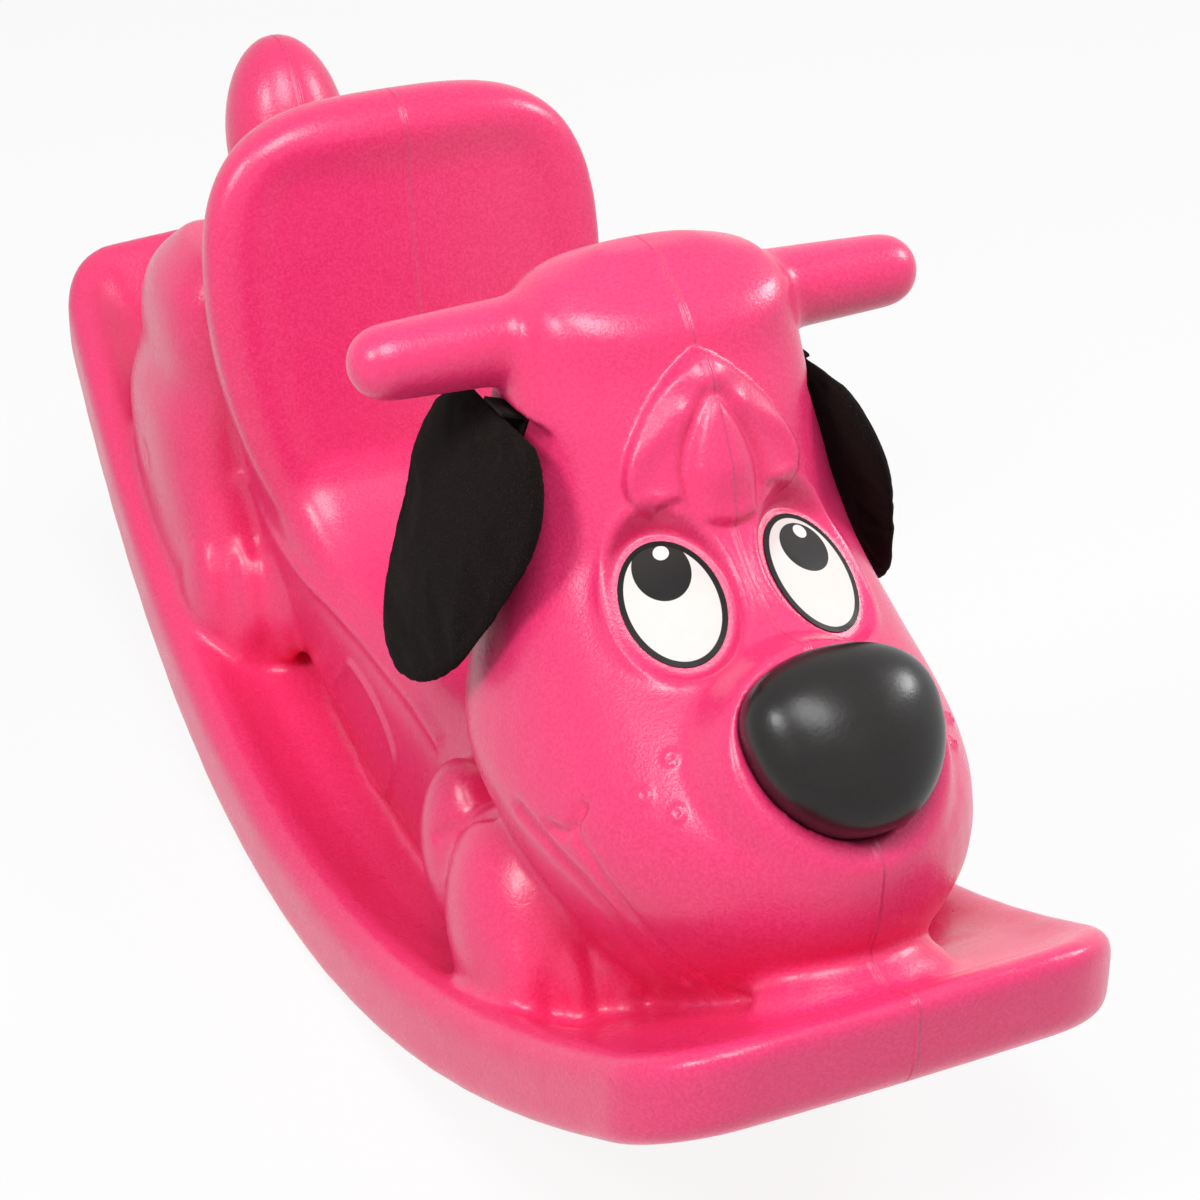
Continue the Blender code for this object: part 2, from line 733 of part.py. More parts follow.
def build_eye(side, parts, cutters, body):
    """An oval label in a flat seat of its own depth; its pupil and outline are printed on it."""
    out, up, facing = eye_axes(side)
    c, s = math.cos(EYE_TURN), math.sin(EYE_TURN)
    face = mirrored(EYE_PLACE, side)

    def at(point, height, turned=True):
        x, y = point
        if turned:
            x, y = x * c - y * s, x * s + y * c
        return face + out * x + up * y + facing * height

    seat = [(x, y) for x, y in oval(EYE_HALF_WIDTH + CLEARANCE, EYE_HALF_HEIGHT + CLEARANCE)]
    floor = -LABEL_THICKNESS - CLEARANCE
    socket = prism("eye_seat", [[at(p, floor) for p in seat], [at(p, 0.03) for p in seat]], cutters)
    combine(body, [socket], "DIFFERENCE")

    rim = oval(EYE_HALF_WIDTH, EYE_HALF_HEIGHT)
    inner = oval(EYE_HALF_WIDTH - EYE_OUTLINE, EYE_HALF_HEIGHT - EYE_OUTLINE)
    pupil_x = PUPIL_PLACE[0] - PUPIL_GLANCE * side
    pupil = [(pupil_x + x, PUPIL_PLACE[1] + y) for x, y in oval(PUPIL_RADIUS, PUPIL_RADIUS, 28)]
    bm = bmesh.new()
    low = [bm.verts.new(at(p, -LABEL_THICKNESS)) for p in rim]
    high = [bm.verts.new(at(p, 0)) for p in rim]
    line = [bm.verts.new(at(p, 0)) for p in inner]
    disc = [bm.verts.new(at(p, 0, turned=False)) for p in pupil]
    bm.faces.new(low)
    for first, second in ((low, high), (high, line)):
        for i in range(len(first)):
            j = (i + 1) % len(first)
            made = bm.faces.new((first[i], first[j], second[j], second[i]))
            made.material_index = 1
    bm.faces.new(disc).material_index = 1
    edges = [bm.edges.get((loop[i], loop[(i + 1) % len(loop)])) for loop in (line, disc) for i in range(len(loop))]
    bmesh.ops.triangle_fill(bm, use_beauty=True, edges=edges)
    name = "eye_label_left" if side > 0 else "eye_label_right"
    return new_object(name, mesh_of(bm, name), parts)


def build_ear(side, parts, cutters, body):
    """One ear, its recess in the head, and the tab, screws and washers that hold it."""
    word = "left" if side > 0 else "right"
    outline, middle_y, middle_d = ear_outline()
    wide = []
    for y, down in outline:
        away = Vector((y - middle_y, down - middle_d))
        away *= 1 + RECESS_MARGIN / away.length
        wide.append((middle_y + away.x, middle_d + away.y))
    low = [ear_point(side, y, down, -RECESS_OFFSET) for y, down in wide]
    high = [ear_point(side, y, down, RECESS_REACH) for y, down in wide]
    recess = prism("ear_recess", [low, high], cutters)

    back = -RECESS_OFFSET + CLEARANCE
    front = back + TAB_THICKNESS
    lip = -EAR_TOP_RADIUS - CLEARANCE
    section = [
        (TAB_DROP, back),
        (TAB_DROP, front),
        (lip, front),
        (lip, TAB_LIP),
        (lip - TAB_THICKNESS, TAB_LIP),
        (lip - TAB_THICKNESS, back),
    ]
    ends = [[ear_point(side, y, down, out) for down, out in section] for y in (TAB_FRONT, TAB_BACK)]
    tab = prism("ear_tab_" + word, ends, parts)

    holes = []
    cuts = []
    middle = (TAB_FRONT + TAB_BACK) / 2
    for place, drop in zip(("upper", "lower"), SCREW_DROPS):

        def bar(name, radius, low_out, high_out, where, segments=20):
            start = ear_point(side, middle, drop, low_out)
            end = ear_point(side, middle, drop, high_out)
            return cylinder(name, radius, start, end, where, segments)

        cuts.append(bar("tab_hole", SCREW_RADIUS + CLEARANCE, back - 0.001, front + 0.001, cutters))
        deep = -RECESS_OFFSET - SCREW_LENGTH
        holes.append(bar("screw_hole", SCREW_RADIUS + CLEARANCE, deep - CLEARANCE, back, cutters))
        under = front + CLEARANCE
        washer = bar("ear_washer_%s_%s" % (word, place), WASHER_RADIUS, under, under + WASHER_THICKNESS, parts)
        bore = bar("washer_bore", SCREW_RADIUS + CLEARANCE, under - 0.001, under + 0.002, cutters)
        combine(washer, [bore], "DIFFERENCE")
        seat = under + WASHER_THICKNESS + CLEARANCE
        shank = bar("shank", SCREW_RADIUS, deep, seat + 0.001, cutters)
        head = bar("ear_screw_%s_%s" % (word, place), SCREW_HEAD_RADIUS, seat, seat + SCREW_HEAD_HEIGHT, parts)
        combine(head, [shank], "UNION")
    combine(tab, cuts, "DIFFERENCE")
    combine(body, [recess] + holes, "DIFFERENCE")

    ear = new_object("ear_" + word, ear_mesh(side), parts)
    hinge = ear_point(side, middle, 0, 0)
    ear.data.transform(Matrix.Translation(-hinge))
    ear.location = hinge
    return ear


def soften(obj, steps):
    rounding = obj.modifiers.new("rounding", "SMOOTH")
    rounding.factor = 0.5
    rounding.iterations = steps
    applied(obj)


def build_body(parts):
    """The merged blank with rounded joins and pressed relief, and the height of its flat."""
    body = new_object("body_moulding", moulding_blank(), parts)
    remesh = body.modifiers.new("merge", "REMESH")
    remesh.mode = "VOXEL"
    remesh.voxel_size = VOXEL
    soften(body, ROUNDING_STEPS)
    floor = press_relief(body.data)
    soften(body, RELIEF_ROUNDING_STEPS)
    thin = body.modifiers.new("thin", "DECIMATE")
    thin.ratio = BODY_TRIANGLES / (2 * len(body.data.polygons))
    thin.use_collapse_triangulate = True
    applied(body)
    return body, floor


def material(name, colour, roughness, metallic=0.0, coat=0.0):
    made = bpy.data.materials.new(name)
    made.use_nodes = True
    shader = made.node_tree.nodes["Principled BSDF"]
    shader.inputs["Base Color"].default_value = (*colour, 1)
    shader.inputs["Roughness"].default_value = roughness
    shader.inputs["Metallic"].default_value = metallic
    shader.inputs["Coat Weight"].default_value = coat
    return made


def dress(parts):
    """Gives each piece its own material and its shading."""
    looks = {
        "body": ((0.84, 0.045, 0.19), 0.38, 0.0, 0.15),
        "nose": ((0.022, 0.020, 0.020), 0.36, 0.0, 0.3),
        "eye_label": ((0.86, 0.84, 0.81), 0.3, 0.0, 0.2),
        "ear_tab": ((0.05, 0.05, 0.05), 0.5, 0.0, 0.0),
        "ear_screw": ((0.60, 0.60, 0.62), 0.3, 1.0, 0.0),
        "ear_washer": ((0.55, 0.55, 0.57), 0.35, 1.0, 0.0),
        "ear": ((0.012, 0.009, 0.009), 0.95, 0.0, 0.0),
    }
    ink = material("eye_ink", (0.012, 0.012, 0.013), 0.25)
    for obj in parts.objects:
        key = next(k for k in looks if obj.name.startswith(k))
        colour, roughness, metallic, coat = looks[key]
        obj.data.materials.clear()
        obj.data.materials.append(material(obj.name, colour, roughness, metallic, coat))
        if key == "eye_label":
            obj.data.materials.append(ink)
        obj.data.shade_smooth()
        obj.data.set_sharp_from_angle(angle=math.radians(42))


def main():
    clear_scene()
    parts = collection("rocking_dog")
    cutters = collection("cutters", hidden=True)
    body, floor = build_body(parts)
    build_nose(parts, cutters, body)
    for side in (1, -1):
        build_eye(side, parts, cutters, body)
        build_ear(side, parts, cutters, body)
    dress(parts)
    for obj in parts.objects:
        obj.location.z -= floor
    for cutter in cutters.objects:
        cutter.hide_render = True
        cutter.display_type = "WIRE"


main()
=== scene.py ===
"""Looks of the rocking dog: a fine moulded skin, printed eyes, a satin nose and padded velour ears.

Metres, +Z up. The dog looks along -Y. Places are drawn for its left side (+X) and are mirrored for
its right side. The drawing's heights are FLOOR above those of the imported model, which stands on its
pressed flat, so every piece is lowered by FLOOR.
"""

import math

import bmesh
import bpy
import numpy as np
from mathutils import Matrix, Vector
from mathutils.geometry import delaunay_2d_cdt

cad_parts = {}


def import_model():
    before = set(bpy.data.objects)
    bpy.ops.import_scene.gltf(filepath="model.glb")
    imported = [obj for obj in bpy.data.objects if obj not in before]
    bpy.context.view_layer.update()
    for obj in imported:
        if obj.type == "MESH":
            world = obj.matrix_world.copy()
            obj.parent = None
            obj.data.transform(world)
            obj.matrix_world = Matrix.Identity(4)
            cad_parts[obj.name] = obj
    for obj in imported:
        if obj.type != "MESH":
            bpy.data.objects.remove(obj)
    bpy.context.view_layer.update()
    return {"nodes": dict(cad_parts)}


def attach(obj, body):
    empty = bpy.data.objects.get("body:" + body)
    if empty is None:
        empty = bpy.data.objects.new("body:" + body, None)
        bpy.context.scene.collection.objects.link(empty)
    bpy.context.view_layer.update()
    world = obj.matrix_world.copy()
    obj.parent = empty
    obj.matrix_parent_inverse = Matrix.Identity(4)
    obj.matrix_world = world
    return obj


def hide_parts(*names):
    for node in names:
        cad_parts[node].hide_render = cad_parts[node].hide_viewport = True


FLOOR = 0.001925

# Camera, at the photograph's viewing angle
CAMERA_PLACE = (-0.575, -1.303, 0.941)
CAMERA_AZIMUTH = math.radians(-25.74)
CAMERA_ELEVATION = math.radians(29.04)
CAMERA_ROLL = 0.0096
CAMERA_LENS = 92.0
SENSOR_WIDTH = 36.0

# Light
WORLD_STRENGTH = 0.20
FLOOR_WHITENESS = 0.90   # share of plain white in the floor where it is seen directly
FLOOR_COLOUR = (0.86, 0.86, 0.86)
FLOOR_HALF_SIZE = 6
FLOOR_GAP = 0.0005
LAMP_AIM = (0, 0, 0.2)
LAMPS = [
    # name, place, size and power
    ("top", (-0.35, -1.0, 2.1), 1.0, 28),
    ("left", (-1.75, -0.65, 1.85), 0.60, 24),
    ("right", (1.75, -0.30, 1.40), 0.54, 17),
]

# Rocker tray
LENGTH = 0.846
WIDTH = 0.290
REST_Y = -0.034
ROCKER_CURVE = 0.915
ROCKER_EASE = 0.400
END_TAPER = 0.027
END_BOW = 0.45
FRONT_CORNER_RADIUS = 0.052
REAR_CORNER_RADIUS = 0.040
TRAY_DEPTH = 0.049
RIM_WIDTH = 0.024
DISH_DEPTH = 0.015
DISH_END = 0.270         # ahead of this the dish runs out under the chin
DISH_END_EASE = 0.070
DISH_END_DEPTH = 0.004
EDGE_RADIUS = 0.010
RIM_RADIUS = 0.013
RUNNER_WIDTH = 0.050
CHANNEL_DEPTH = 0.006
CHANNEL_SLOPE = 0.012
RIM_SLOPE = [(0.8, 0.1), (1.3, 0.6), (1.9, 1.0)]    # shares of RIM_WIDTH and DISH_DEPTH
SMALLEST_CORNER = 0.010
END_STEPS = 8
SIDE_STEPS = 24
ROUND_STEPS = 4

# Trunk, backrest and handles
SEAT_HEIGHT = 0.150
SEAT_RIM = 0.010
SEAT_DISH_START = 0.85   # the seat is dished above this share of the trunk's height
TRUNK_SIDE_POWER = 0.5
TRUNK_TOP_POWER = 0.55
TRUNK_POINTS = 40
BACK_HALF_WIDTH = 0.1145
BACK_TOP = 0.387
BACK_START = 0.020       # above the seat
BACK_ARCH = 0.112
BACK_BOXINESS = 3.2
BACK_FOOT_TAPER = 0.026
BACK_FOOT_HEIGHT = 0.120
BACK_Y = 0.133
BACK_SCOOP = 0.018
BACK_THICKNESS = 0.040
BACK_ROLL = 0.022
BACK_FLARE = 0.25
BACK_DISH = 0.006
BACK_RIM = 0.012
BACK_RIM_EASE = 0.030
BACK_RECLINE = math.radians(10)
BACK_TIP_HALF_WIDTH = 0.004
BACK_REAR_TAPER = 0.1
BACK_POWERS = 0.6, 0.7, 0.8     # of its plan sections: across, at the front and at the back
BACK_ROWS = 40
BACK_POINTS = 48
HANDLE_Y = -0.1505
HANDLE_Z = 0.377
HANDLE_SPAN = 0.288
HANDLE_TIP_RADIUS = 0.0178
HANDLE_ROOT_RADIUS = 0.0205
HANDLE_NECK = 0.055
HANDLE_TIP_STEPS = 7
HANDLE_POINTS = 28

# Moulded skin: a blank with round joins, then a finer surface that takes the relief
BLANK_VOXEL = 0.0028
BLANK_ROUNDING = 13
SKIN_VOXEL = 0.0018
SKIN_ROUNDING = 5
RELIEF_ROUNDING = 1
RELIEF_REACH = 0.030
SEAT_MARGIN = 1.1        # a seat is flat this many times as far out as its label

# Eyes
EYE_PLACE = Vector((0.0349, -0.2562, 0.2877))
EYE_FACING = Vector((0.280, -0.510, 0.813)).normalized()
EYE_TURN = math.radians(-24)
EYE_HALF_WIDTH = 0.0230
EYE_HALF_HEIGHT = 0.0318
EYE_OUTLINE = 0.0027
EYE_EASE = 0.24
EYE_CROWN = 0.0009
EYE_PROUD = 0.0007       # the label stands this far above its seat
EYE_RIM_GAP = 0.0065
EYE_RIM_HEIGHT = 0.0022
EYE_RIM_WIDTH = 0.0038
LABEL_THICKNESS = 0.0008
LABEL_POINTS = 96
LABEL_RINGS = 13
LABEL_SHARP_ANGLE = math.radians(50)
GLINT_RADIUS = 0.0036
PRINT_EDGE = 0.00012
# For each side: pupil's middle, its half sizes and the glint's middle, outwards and up the eye
EYE_LOOK = {
    1: ((0.0017, 0.0131), (0.0128, 0.0132), (0.0035, 0.0216)),
    -1: ((-0.0013, 0.0167), (0.0130, 0.0156), (-0.0042, 0.0248)),
}

# Nose
NOSE_SEAT = Vector((0, -0.3480, 0.2565))
NOSE_FACING = Vector((0, -0.700, 0.714)).normalized()
NOSE_HALF_WIDTH = 0.044
NOSE_HALF_LENGTH = 0.0415
NOSE_HEIGHT = 0.036
NOSE_MIDDLE = 0.30
NOSE_TAPER = 0.20
NOSE_SINK = 0.004
NOSE_EASE = 0.32
NOSE_GAP = 0.0004
NOSE_POWER = 0.9
NOSE_TIP_SHARE = 0.9997
NOSE_ROWS, NOSE_POINTS = 28, 96
POCKET_ROWS, POCKET_POINTS = 8, 32

# Ears
EAR_AXIS_X = 0.078
EAR_AXIS_Z = 0.345
EAR_LEAN = math.atan(0.34)
EAR_STEP = 0.0028
EAR_SEAM_HALF = 0.0006
EAR_FLAT_HALF = 0.0036
EAR_SWELL_REACH = 0.013
EAR_TOP_RADIUS = 0.004
EAR_CAP = 0.0090
EAR_OUTWARD = 0.0115     # the pad reaches this far outwards from its middle plane
EAR_INWARD = 0.0070
EAR_SEAM_POINTS = 150
EAR_SEAM_CLEARANCE = 0.55       # of EAR_STEP, between the seam and the points inside it
ON_SEAM = 1e-5
STUFFING_FRAMES = 20
STUFFING = {
    "quality": 6,
    "mass": 0.2,
    "tension_stiffness": 12,
    "compression_stiffness": 12,
    "shear_stiffness": 6,
    "bending_stiffness": 4,
    "shrink_min": -0.012,       # below 0, the cloth is cut that much larger than its outline
    "uniform_pressure_force": 4,
}
EAR_FOLD_PLACE = 0.8     # folds lie at this share of the pad's reach outwards
# Folds on each side: depth, width and the line along Y and down from the hinge line
EAR_FOLDS = {
    -1: [(0.0022, 0.0018, [(-0.183, 0.007), (-0.193, 0.003), (-0.206, -0.002)])],
    1: [
        (0.0026, 0.0022, [(-0.174, 0.0548), (-0.19, 0.04), (-0.209, 0.025)]),
        (0.002, 0.0022, [(-0.174, 0.0548), (-0.18, 0.061), (-0.19, 0.072)]),
    ],
}
RECESS_OFFSET = 0.0125
RECESS_REACH = 0.009
RECESS_MARGIN = 0.009
RECESS_HEADROOM = 0.004
RECESS_POINTS = 44
EAR_OUTLINE = [
    # along Y, down from the hinge line
    (-0.146, -0.006), (-0.122, -0.0015), (-0.106, 0.014), (-0.099, 0.038), (-0.102, 0.057),
    (-0.109, 0.096), (-0.116, 0.116), (-0.129, 0.13), (-0.147, 0.136), (-0.166, 0.132),
    (-0.185, 0.12), (-0.201, 0.101), (-0.217, 0.069), (-0.227, 0.04), (-0.225, 0.02),
    (-0.214, 0.004), (-0.196, -0.006), (-0.171, -0.006),
]

# Relief
TUFT_HEIGHT = 0.0036
TUFT_EDGE = 0.0034
TUFT_FRONT = -0.180      # only what lies in front of this is raised
TUFT_POINTS = 90
MIDDLE_RIDGE_HEIGHT = 0.0095
MIDDLE_RIDGE_WIDTH = 0.0150
SIDE_RIDGE_HEIGHT = 0.0024
SIDE_RIDGE_WIDTH = 0.0055
GROOVE_DEPTH = 0.0036
GROOVE_WIDTH = 0.0028
TUFT_OUTLINE = [
    # half of the tuft of hair, seen from the front: across from the middle and up
    (0.0, 0.3825), (0.004, 0.3805), (0.01, 0.3765), (0.017, 0.3712), (0.024, 0.3648),
    (0.031, 0.3568), (0.037, 0.3478), (0.0405, 0.34), (0.0425, 0.333), (0.0425, 0.327),
    (0.0398, 0.3234), (0.035, 0.3222), (0.029, 0.3235), (0.0215, 0.3245), (0.018, 0.32),
    (0.013, 0.3165), (0.007, 0.3145), (0.0, 0.3138),
]
MIDDLE_RIDGE = [(0.0, 0.368), (0.0, 0.336)]
SIDE_RIDGE = [(0.016, 0.357), (0.027, 0.349), (0.036, 0.341), (0.0405, 0.333)]
LOCK_GROOVE = [
    (0.003, 0.3625), (0.0085, 0.355), (0.014, 0.345), (0.0168, 0.336), (0.0168, 0.327),
    (0.015, 0.319),
]

# Lines on both sides: all are pressed in but the seat's rolled rim, which is raised
MOUTH_LINE = [
    (0.0959, -0.2885, 0.2039), (0.0936, -0.3011, 0.1952), (0.0883, -0.3133, 0.1834),
    (0.0811, -0.3217, 0.1718), (0.0727, -0.3278, 0.161), (0.059, -0.3344, 0.1467),
    (0.0416, -0.3417, 0.1349),
]
MOUTH_CURL = [
    (0.0934, -0.289, 0.2164), (0.0956, -0.2866, 0.2063), (0.0992, -0.2821, 0.2004),
    (0.1018, -0.2708, 0.1981),
]
BIB_LINE = [
    (0.1056, -0.2469, 0.194), (0.1031, -0.2662, 0.1904), (0.0996, -0.2789, 0.186),
    (0.0949, -0.2927, 0.1809), (0.0886, -0.3033, 0.1709), (0.0758, -0.3117, 0.151),
    (0.0591, -0.3196, 0.1332),
]
ELBOW_FOLD = [
    (0.1078, -0.1531, 0.1233), (0.1013, -0.164, 0.1343), (0.095, -0.1751, 0.1449),
    (0.092, -0.1897, 0.1544),
]
SEAT_RIM_LINE = [
    (0.09, 0.166, 0.1684), (0.0863, 0.14, 0.1545), (0.0858, 0.1184, 0.15),
    (0.0829, 0.0803, 0.1418), (0.078, 0.0387, 0.1381), (0.0765, -0.0103, 0.1352),
    (0.0765, -0.0531, 0.1349), (0.0773, -0.0861, 0.1328),
]
GROOVES = [
    # depth (below 0 it is raised), width and line
    (0.0019, 0.003, MOUTH_LINE),
    (0.0032, 0.0026, MOUTH_CURL),
    (0.0036, 0.0037, BIB_LINE),
    (0.0032, 0.003, ELBOW_FOLD),
    (-0.0026, 0.0046, SEAT_RIM_LINE),
]
WHISKER_PLACES = [
    (0.0626, -0.3118, 0.2465), (0.0760, -0.3133, 0.2322), (0.0681, -0.3300, 0.2307)
]
WHISKER_DEPTH = 0.0015
WHISKER_RADIUS = 0.0024
WHISKER_WIDTH = 0.0012
WHISKER_DIMPLE = 0.7     # of its ring's height
HIP_DIMPLE = (0.1184, 0.2376, 0.1583)
HIP_DIMPLE_DEPTH = 0.0030
HIP_DIMPLE_RADIUS = 0.0080
BADGE_OUTLINE = [
    # a bare raised ring on the right flank: along Y and up
    (0.0576, 0.0878), (0.0432, 0.104), (0.0319, 0.1143), (0.0003, 0.1096), (-0.0241, 0.0954),
    (-0.025, 0.0803), (-0.0129, 0.0604), (0.0098, 0.0428), (0.0454, 0.0447), (0.0617, 0.0656),
]
BADGE_FLANK = -0.060     # only the surface outboard of this takes the ring
BADGE_INNER = -0.100     # and inboard of this
BADGE_POINTS = 60
BADGE_HEIGHT = 0.0018
BADGE_WIDTH = 0.0022

TRUNK_SECTIONS = [
    # along Y, half width at the seat, top above or below the seat, half width at the tray
    (-0.215, 0.074, 0.035, 0.072),
    (-0.150, 0.077, 0.022, 0.076),
    (-0.090, 0.080, 0.006, 0.079),
    (-0.020, 0.080, 0.0, 0.077),
    (0.050, 0.084, 0.008, 0.073),
    (0.095, 0.092, 0.034, 0.072),
    (0.125, 0.098, 0.080, 0.072),
    (0.200, 0.094, 0.130, 0.076),
    (0.290, 0.080, 0.085, 0.076),
    (0.350, 0.062, 0.035, 0.066),
]
TRUNK_STEP = 0.0125
TRUNK_SINK = 0.020

HEAD_SECTIONS = [
    # height, front, widest place, back (all along Y), half width, boxiness of the front
    (0.075, -0.300, -0.235, -0.160, 0.048, 2.1),
    (0.110, -0.334, -0.235, -0.150, 0.068, 2.1),
    (0.150, -0.367, -0.234, -0.140, 0.091, 2.1),
    (0.180, -0.383, -0.230, -0.130, 0.104, 2.05),
    (0.200, -0.3865, -0.224, -0.122, 0.107, 2.0),
    (0.225, -0.3845, -0.216, -0.115, 0.101, 1.95),
    (0.250, -0.354, -0.206, -0.109, 0.093, 1.75),
    (0.275, -0.312, -0.193, -0.105, 0.0875, 1.45),
    (0.288, -0.277, -0.186, -0.104, 0.0855, 1.5),
    (0.300, -0.259, -0.179, -0.104, 0.0835, 1.55),
    (0.322, -0.2385, -0.171, -0.104, 0.0785, 1.9),
    (0.348, -0.2225, -0.167, -0.105, 0.0735, 2.05),
    (0.375, -0.2060, -0.163, -0.107, 0.0695, 2.15),
    (0.394, -0.1975, -0.162, -0.115, 0.0645, 2.5),
    (0.406, -0.178, -0.160, -0.129, 0.0545, 2.5),
    (0.415, -0.163, -0.157, -0.146, 0.026, 2.2),
]

HIND_LEG_SECTIONS = [
    # height, front, back (along Y), outer side, inner side
    (0.040, 0.136, 0.275, 0.122, 0.068),
    (0.085, 0.136, 0.285, 0.124, 0.068),
    (0.130, 0.152, 0.300, 0.124, 0.068),
    (0.165, 0.166, 0.305, 0.125, 0.066),
    (0.190, 0.170, 0.303, 0.124, 0.065),
    (0.218, 0.170, 0.296, 0.117, 0.063),
    (0.245, 0.168, 0.286, 0.119, 0.060),
    (0.272, 0.170, 0.268, 0.115, 0.058),
    (0.293, 0.182, 0.245, 0.099, 0.062),
]
FOOT_SINK = 0.022
SECTION_STEP = 0.0085
HEAD_POINTS = 48
HEAD_BACK_BOXINESS = 2.6
LEG_POINTS = 28
LEG_WIDEST = 0.4         # this share of the way from a leg's front to its back
LEG_BOXINESS = 2.6, 2.2  # at the front and the back

FORM_SEGMENTS = 24
FORM_RINGS = 16

# Rounded forms: centre, radii and turn in degrees about X
PAIRED_FORMS = [
    ((0.088, -0.146, 0.106), (0.022, 0.03, 0.049), -10),
    ((0.083, -0.206, 0.097), (0.037, 0.05, 0.061), -28),
]
MIDDLE_FORMS = [
    ((0, -0.372, 0.143), (0.05, 0.033, 0.024), 0),
    ((0, 0.235, 0.2), (0.09, 0.125, 0.12), 0),
    ((0, 0.318, 0.3), (0.037, 0.036, 0.064), -18),
    ((0, 0.29, 0.25), (0.034, 0.036, 0.06), 10),
]
# Rows of three toes on each side: centre of the first, radii, turn and step to the next
TOES = [
    ((0.061, -0.245, 0.086), (0.014, 0.032, 0.042), -24, (0.0205, 0.009, 0)),
    ((0.08, 0.146, 0.097), (0.013, 0.028, 0.04), -4, (0.0165, 0.0125, 0)),
]


def linked(name, data):
    """A new object in the scene."""
    made = bpy.data.objects.new(name, data)
    bpy.context.scene.collection.objects.link(made)
    return made


def mesh_of(bm, name):
    mesh = bpy.data.meshes.new(name)
    bmesh.ops.recalc_face_normals(bm, faces=bm.faces)
    bm.to_mesh(mesh)
    bm.free()
    return mesh


def mirrored(v, side):
    return Vector((v[0] * side, v[1], v[2]))


def applied(obj):
    """Bakes an object's modifiers into its mesh."""
    graph = bpy.context.evaluated_depsgraph_get()
    graph.update()
    mesh = bpy.data.meshes.new_from_object(obj.evaluated_get(graph))
    obj.modifiers.clear()
    obj.data = mesh
    return obj


def lowered(obj):
    """Brings a piece from the drawing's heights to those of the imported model."""
    obj.data.transform(Matrix.Translation((0, 0, -FLOOR)))
    return obj


def points_of(mesh):
    points = np.empty(len(mesh.vertices) * 3, np.float32)
    mesh.vertices.foreach_get("co", points)
    return points.reshape(-1, 3).astype(float)


def normals_of(mesh):
    normals = np.empty(len(mesh.vertices) * 3, np.float32)
    mesh.vertex_normals.foreach_get("vector", normals)
    return normals.reshape(-1, 3).astype(float)


def set_points(mesh, points):
    mesh.vertices.foreach_set("co", points.astype(np.float32).ravel())
    mesh.update()


def smooth_step(x):
    x = np.clip(x, 0, 1)
    return x * x * (3 - 2 * x)


def line_distance(points, line):
    """Distance of each point from a line through a few points."""
    nearest = np.full(len(points), 1.0)
    for a, b in zip(line, line[1:]):
        a, b = np.array(a, float), np.array(b, float)
        share = np.clip((points - a) @ (b - a) / ((b - a) @ (b - a)), 0, 1)
        nearest = np.minimum(nearest, np.linalg.norm(points - a - share[:, None] * (b - a), axis=1))
    return nearest


def inside_by(flat, outline):
    """How far each point lies inside a closed outline, and below 0 outside it."""
    nearest = line_distance(flat, outline + outline[:1])
    inside = np.zeros(len(flat), bool)
    x, y = flat[:, 0], flat[:, 1]
    for (ax, ay), (bx, by) in zip(outline, outline[1:] + outline[:1]):
        if ay != by:
            crossing = (bx - ax) * (y - ay) / (by - ay) + ax
            inside ^= ((ay > y) != (by > y)) & (x < crossing)
    return np.where(inside, nearest, -nearest)


def closed_outline(stations, count):
    """A smooth closed curve through the stations, as count points."""
    points = []
    n = len(stations)
    for i in range(count):
        t = i * n / count
        k = int(t)
        u = t - k
        p = [Vector((*stations[(k + j) % n], 0)) for j in (-1, 0, 1, 2)]
        bend = 2 * p[1] + (p[2] - p[0]) * u
        bend += (2 * p[0] - 5 * p[1] + 4 * p[2] - p[3]) * u**2
        bend += (3 * p[1] - p[0] - 3 * p[2] + p[3]) * u**3
        points.append((bend.x / 2, bend.y / 2))
    return points


def soft_line(flat, line, height, width):
    """The height of a soft ridge along a line, where height is its crest."""
    return height * np.exp(-((line_distance(flat, line) / width) ** 2))


# Camera, light and floor


def add_camera():
    camera = linked("camera", bpy.data.cameras.new("camera"))
    turn = Matrix.Rotation(CAMERA_AZIMUTH, 4, "Z")
    turn @= Matrix.Rotation(math.pi / 2 - CAMERA_ELEVATION, 4, "X")
    turn @= Matrix.Rotation(CAMERA_ROLL, 4, "Z")
    camera.matrix_world = Matrix.Translation(CAMERA_PLACE) @ turn
    camera.data.sensor_width = SENSOR_WIDTH
    camera.data.lens = CAMERA_LENS
    bpy.context.scene.camera = camera


def add_lamp(name, place, size, power):
    lamp = bpy.data.lights.new(name, "AREA")
    lamp.shape = "DISK"
    lamp.size = size
    lamp.energy = power
    made = linked(name, lamp)
    made.location = place
    made.rotation_euler = (Vector(LAMP_AIM) - Vector(place)).to_track_quat("-Z", "Y").to_euler()


def seen_directly(nodes, links):
    """1 for rays from the camera and for reflections, 0 for light that falls on the object."""
    path = nodes.new("ShaderNodeLightPath")
    total = path.outputs["Is Camera Ray"]
    for ray in ("Is Glossy Ray", "Is Transmission Ray"):
        either = nodes.new("ShaderNodeMath")
        either.operation = "MAXIMUM"
        links.new(total, either.inputs[0])
        links.new(path.outputs[ray], either.inputs[1])
        total = either.outputs[0]
    return total


def coloured(nodes, kind, colour, strength=None):
    """A node of one colour, as its output."""
    made = nodes.new(kind)
    made.inputs["Color"].default_value = (*colour, 1)
    if strength is not None:
        made.inputs["Strength"].default_value = strength
    return made.outputs[0]


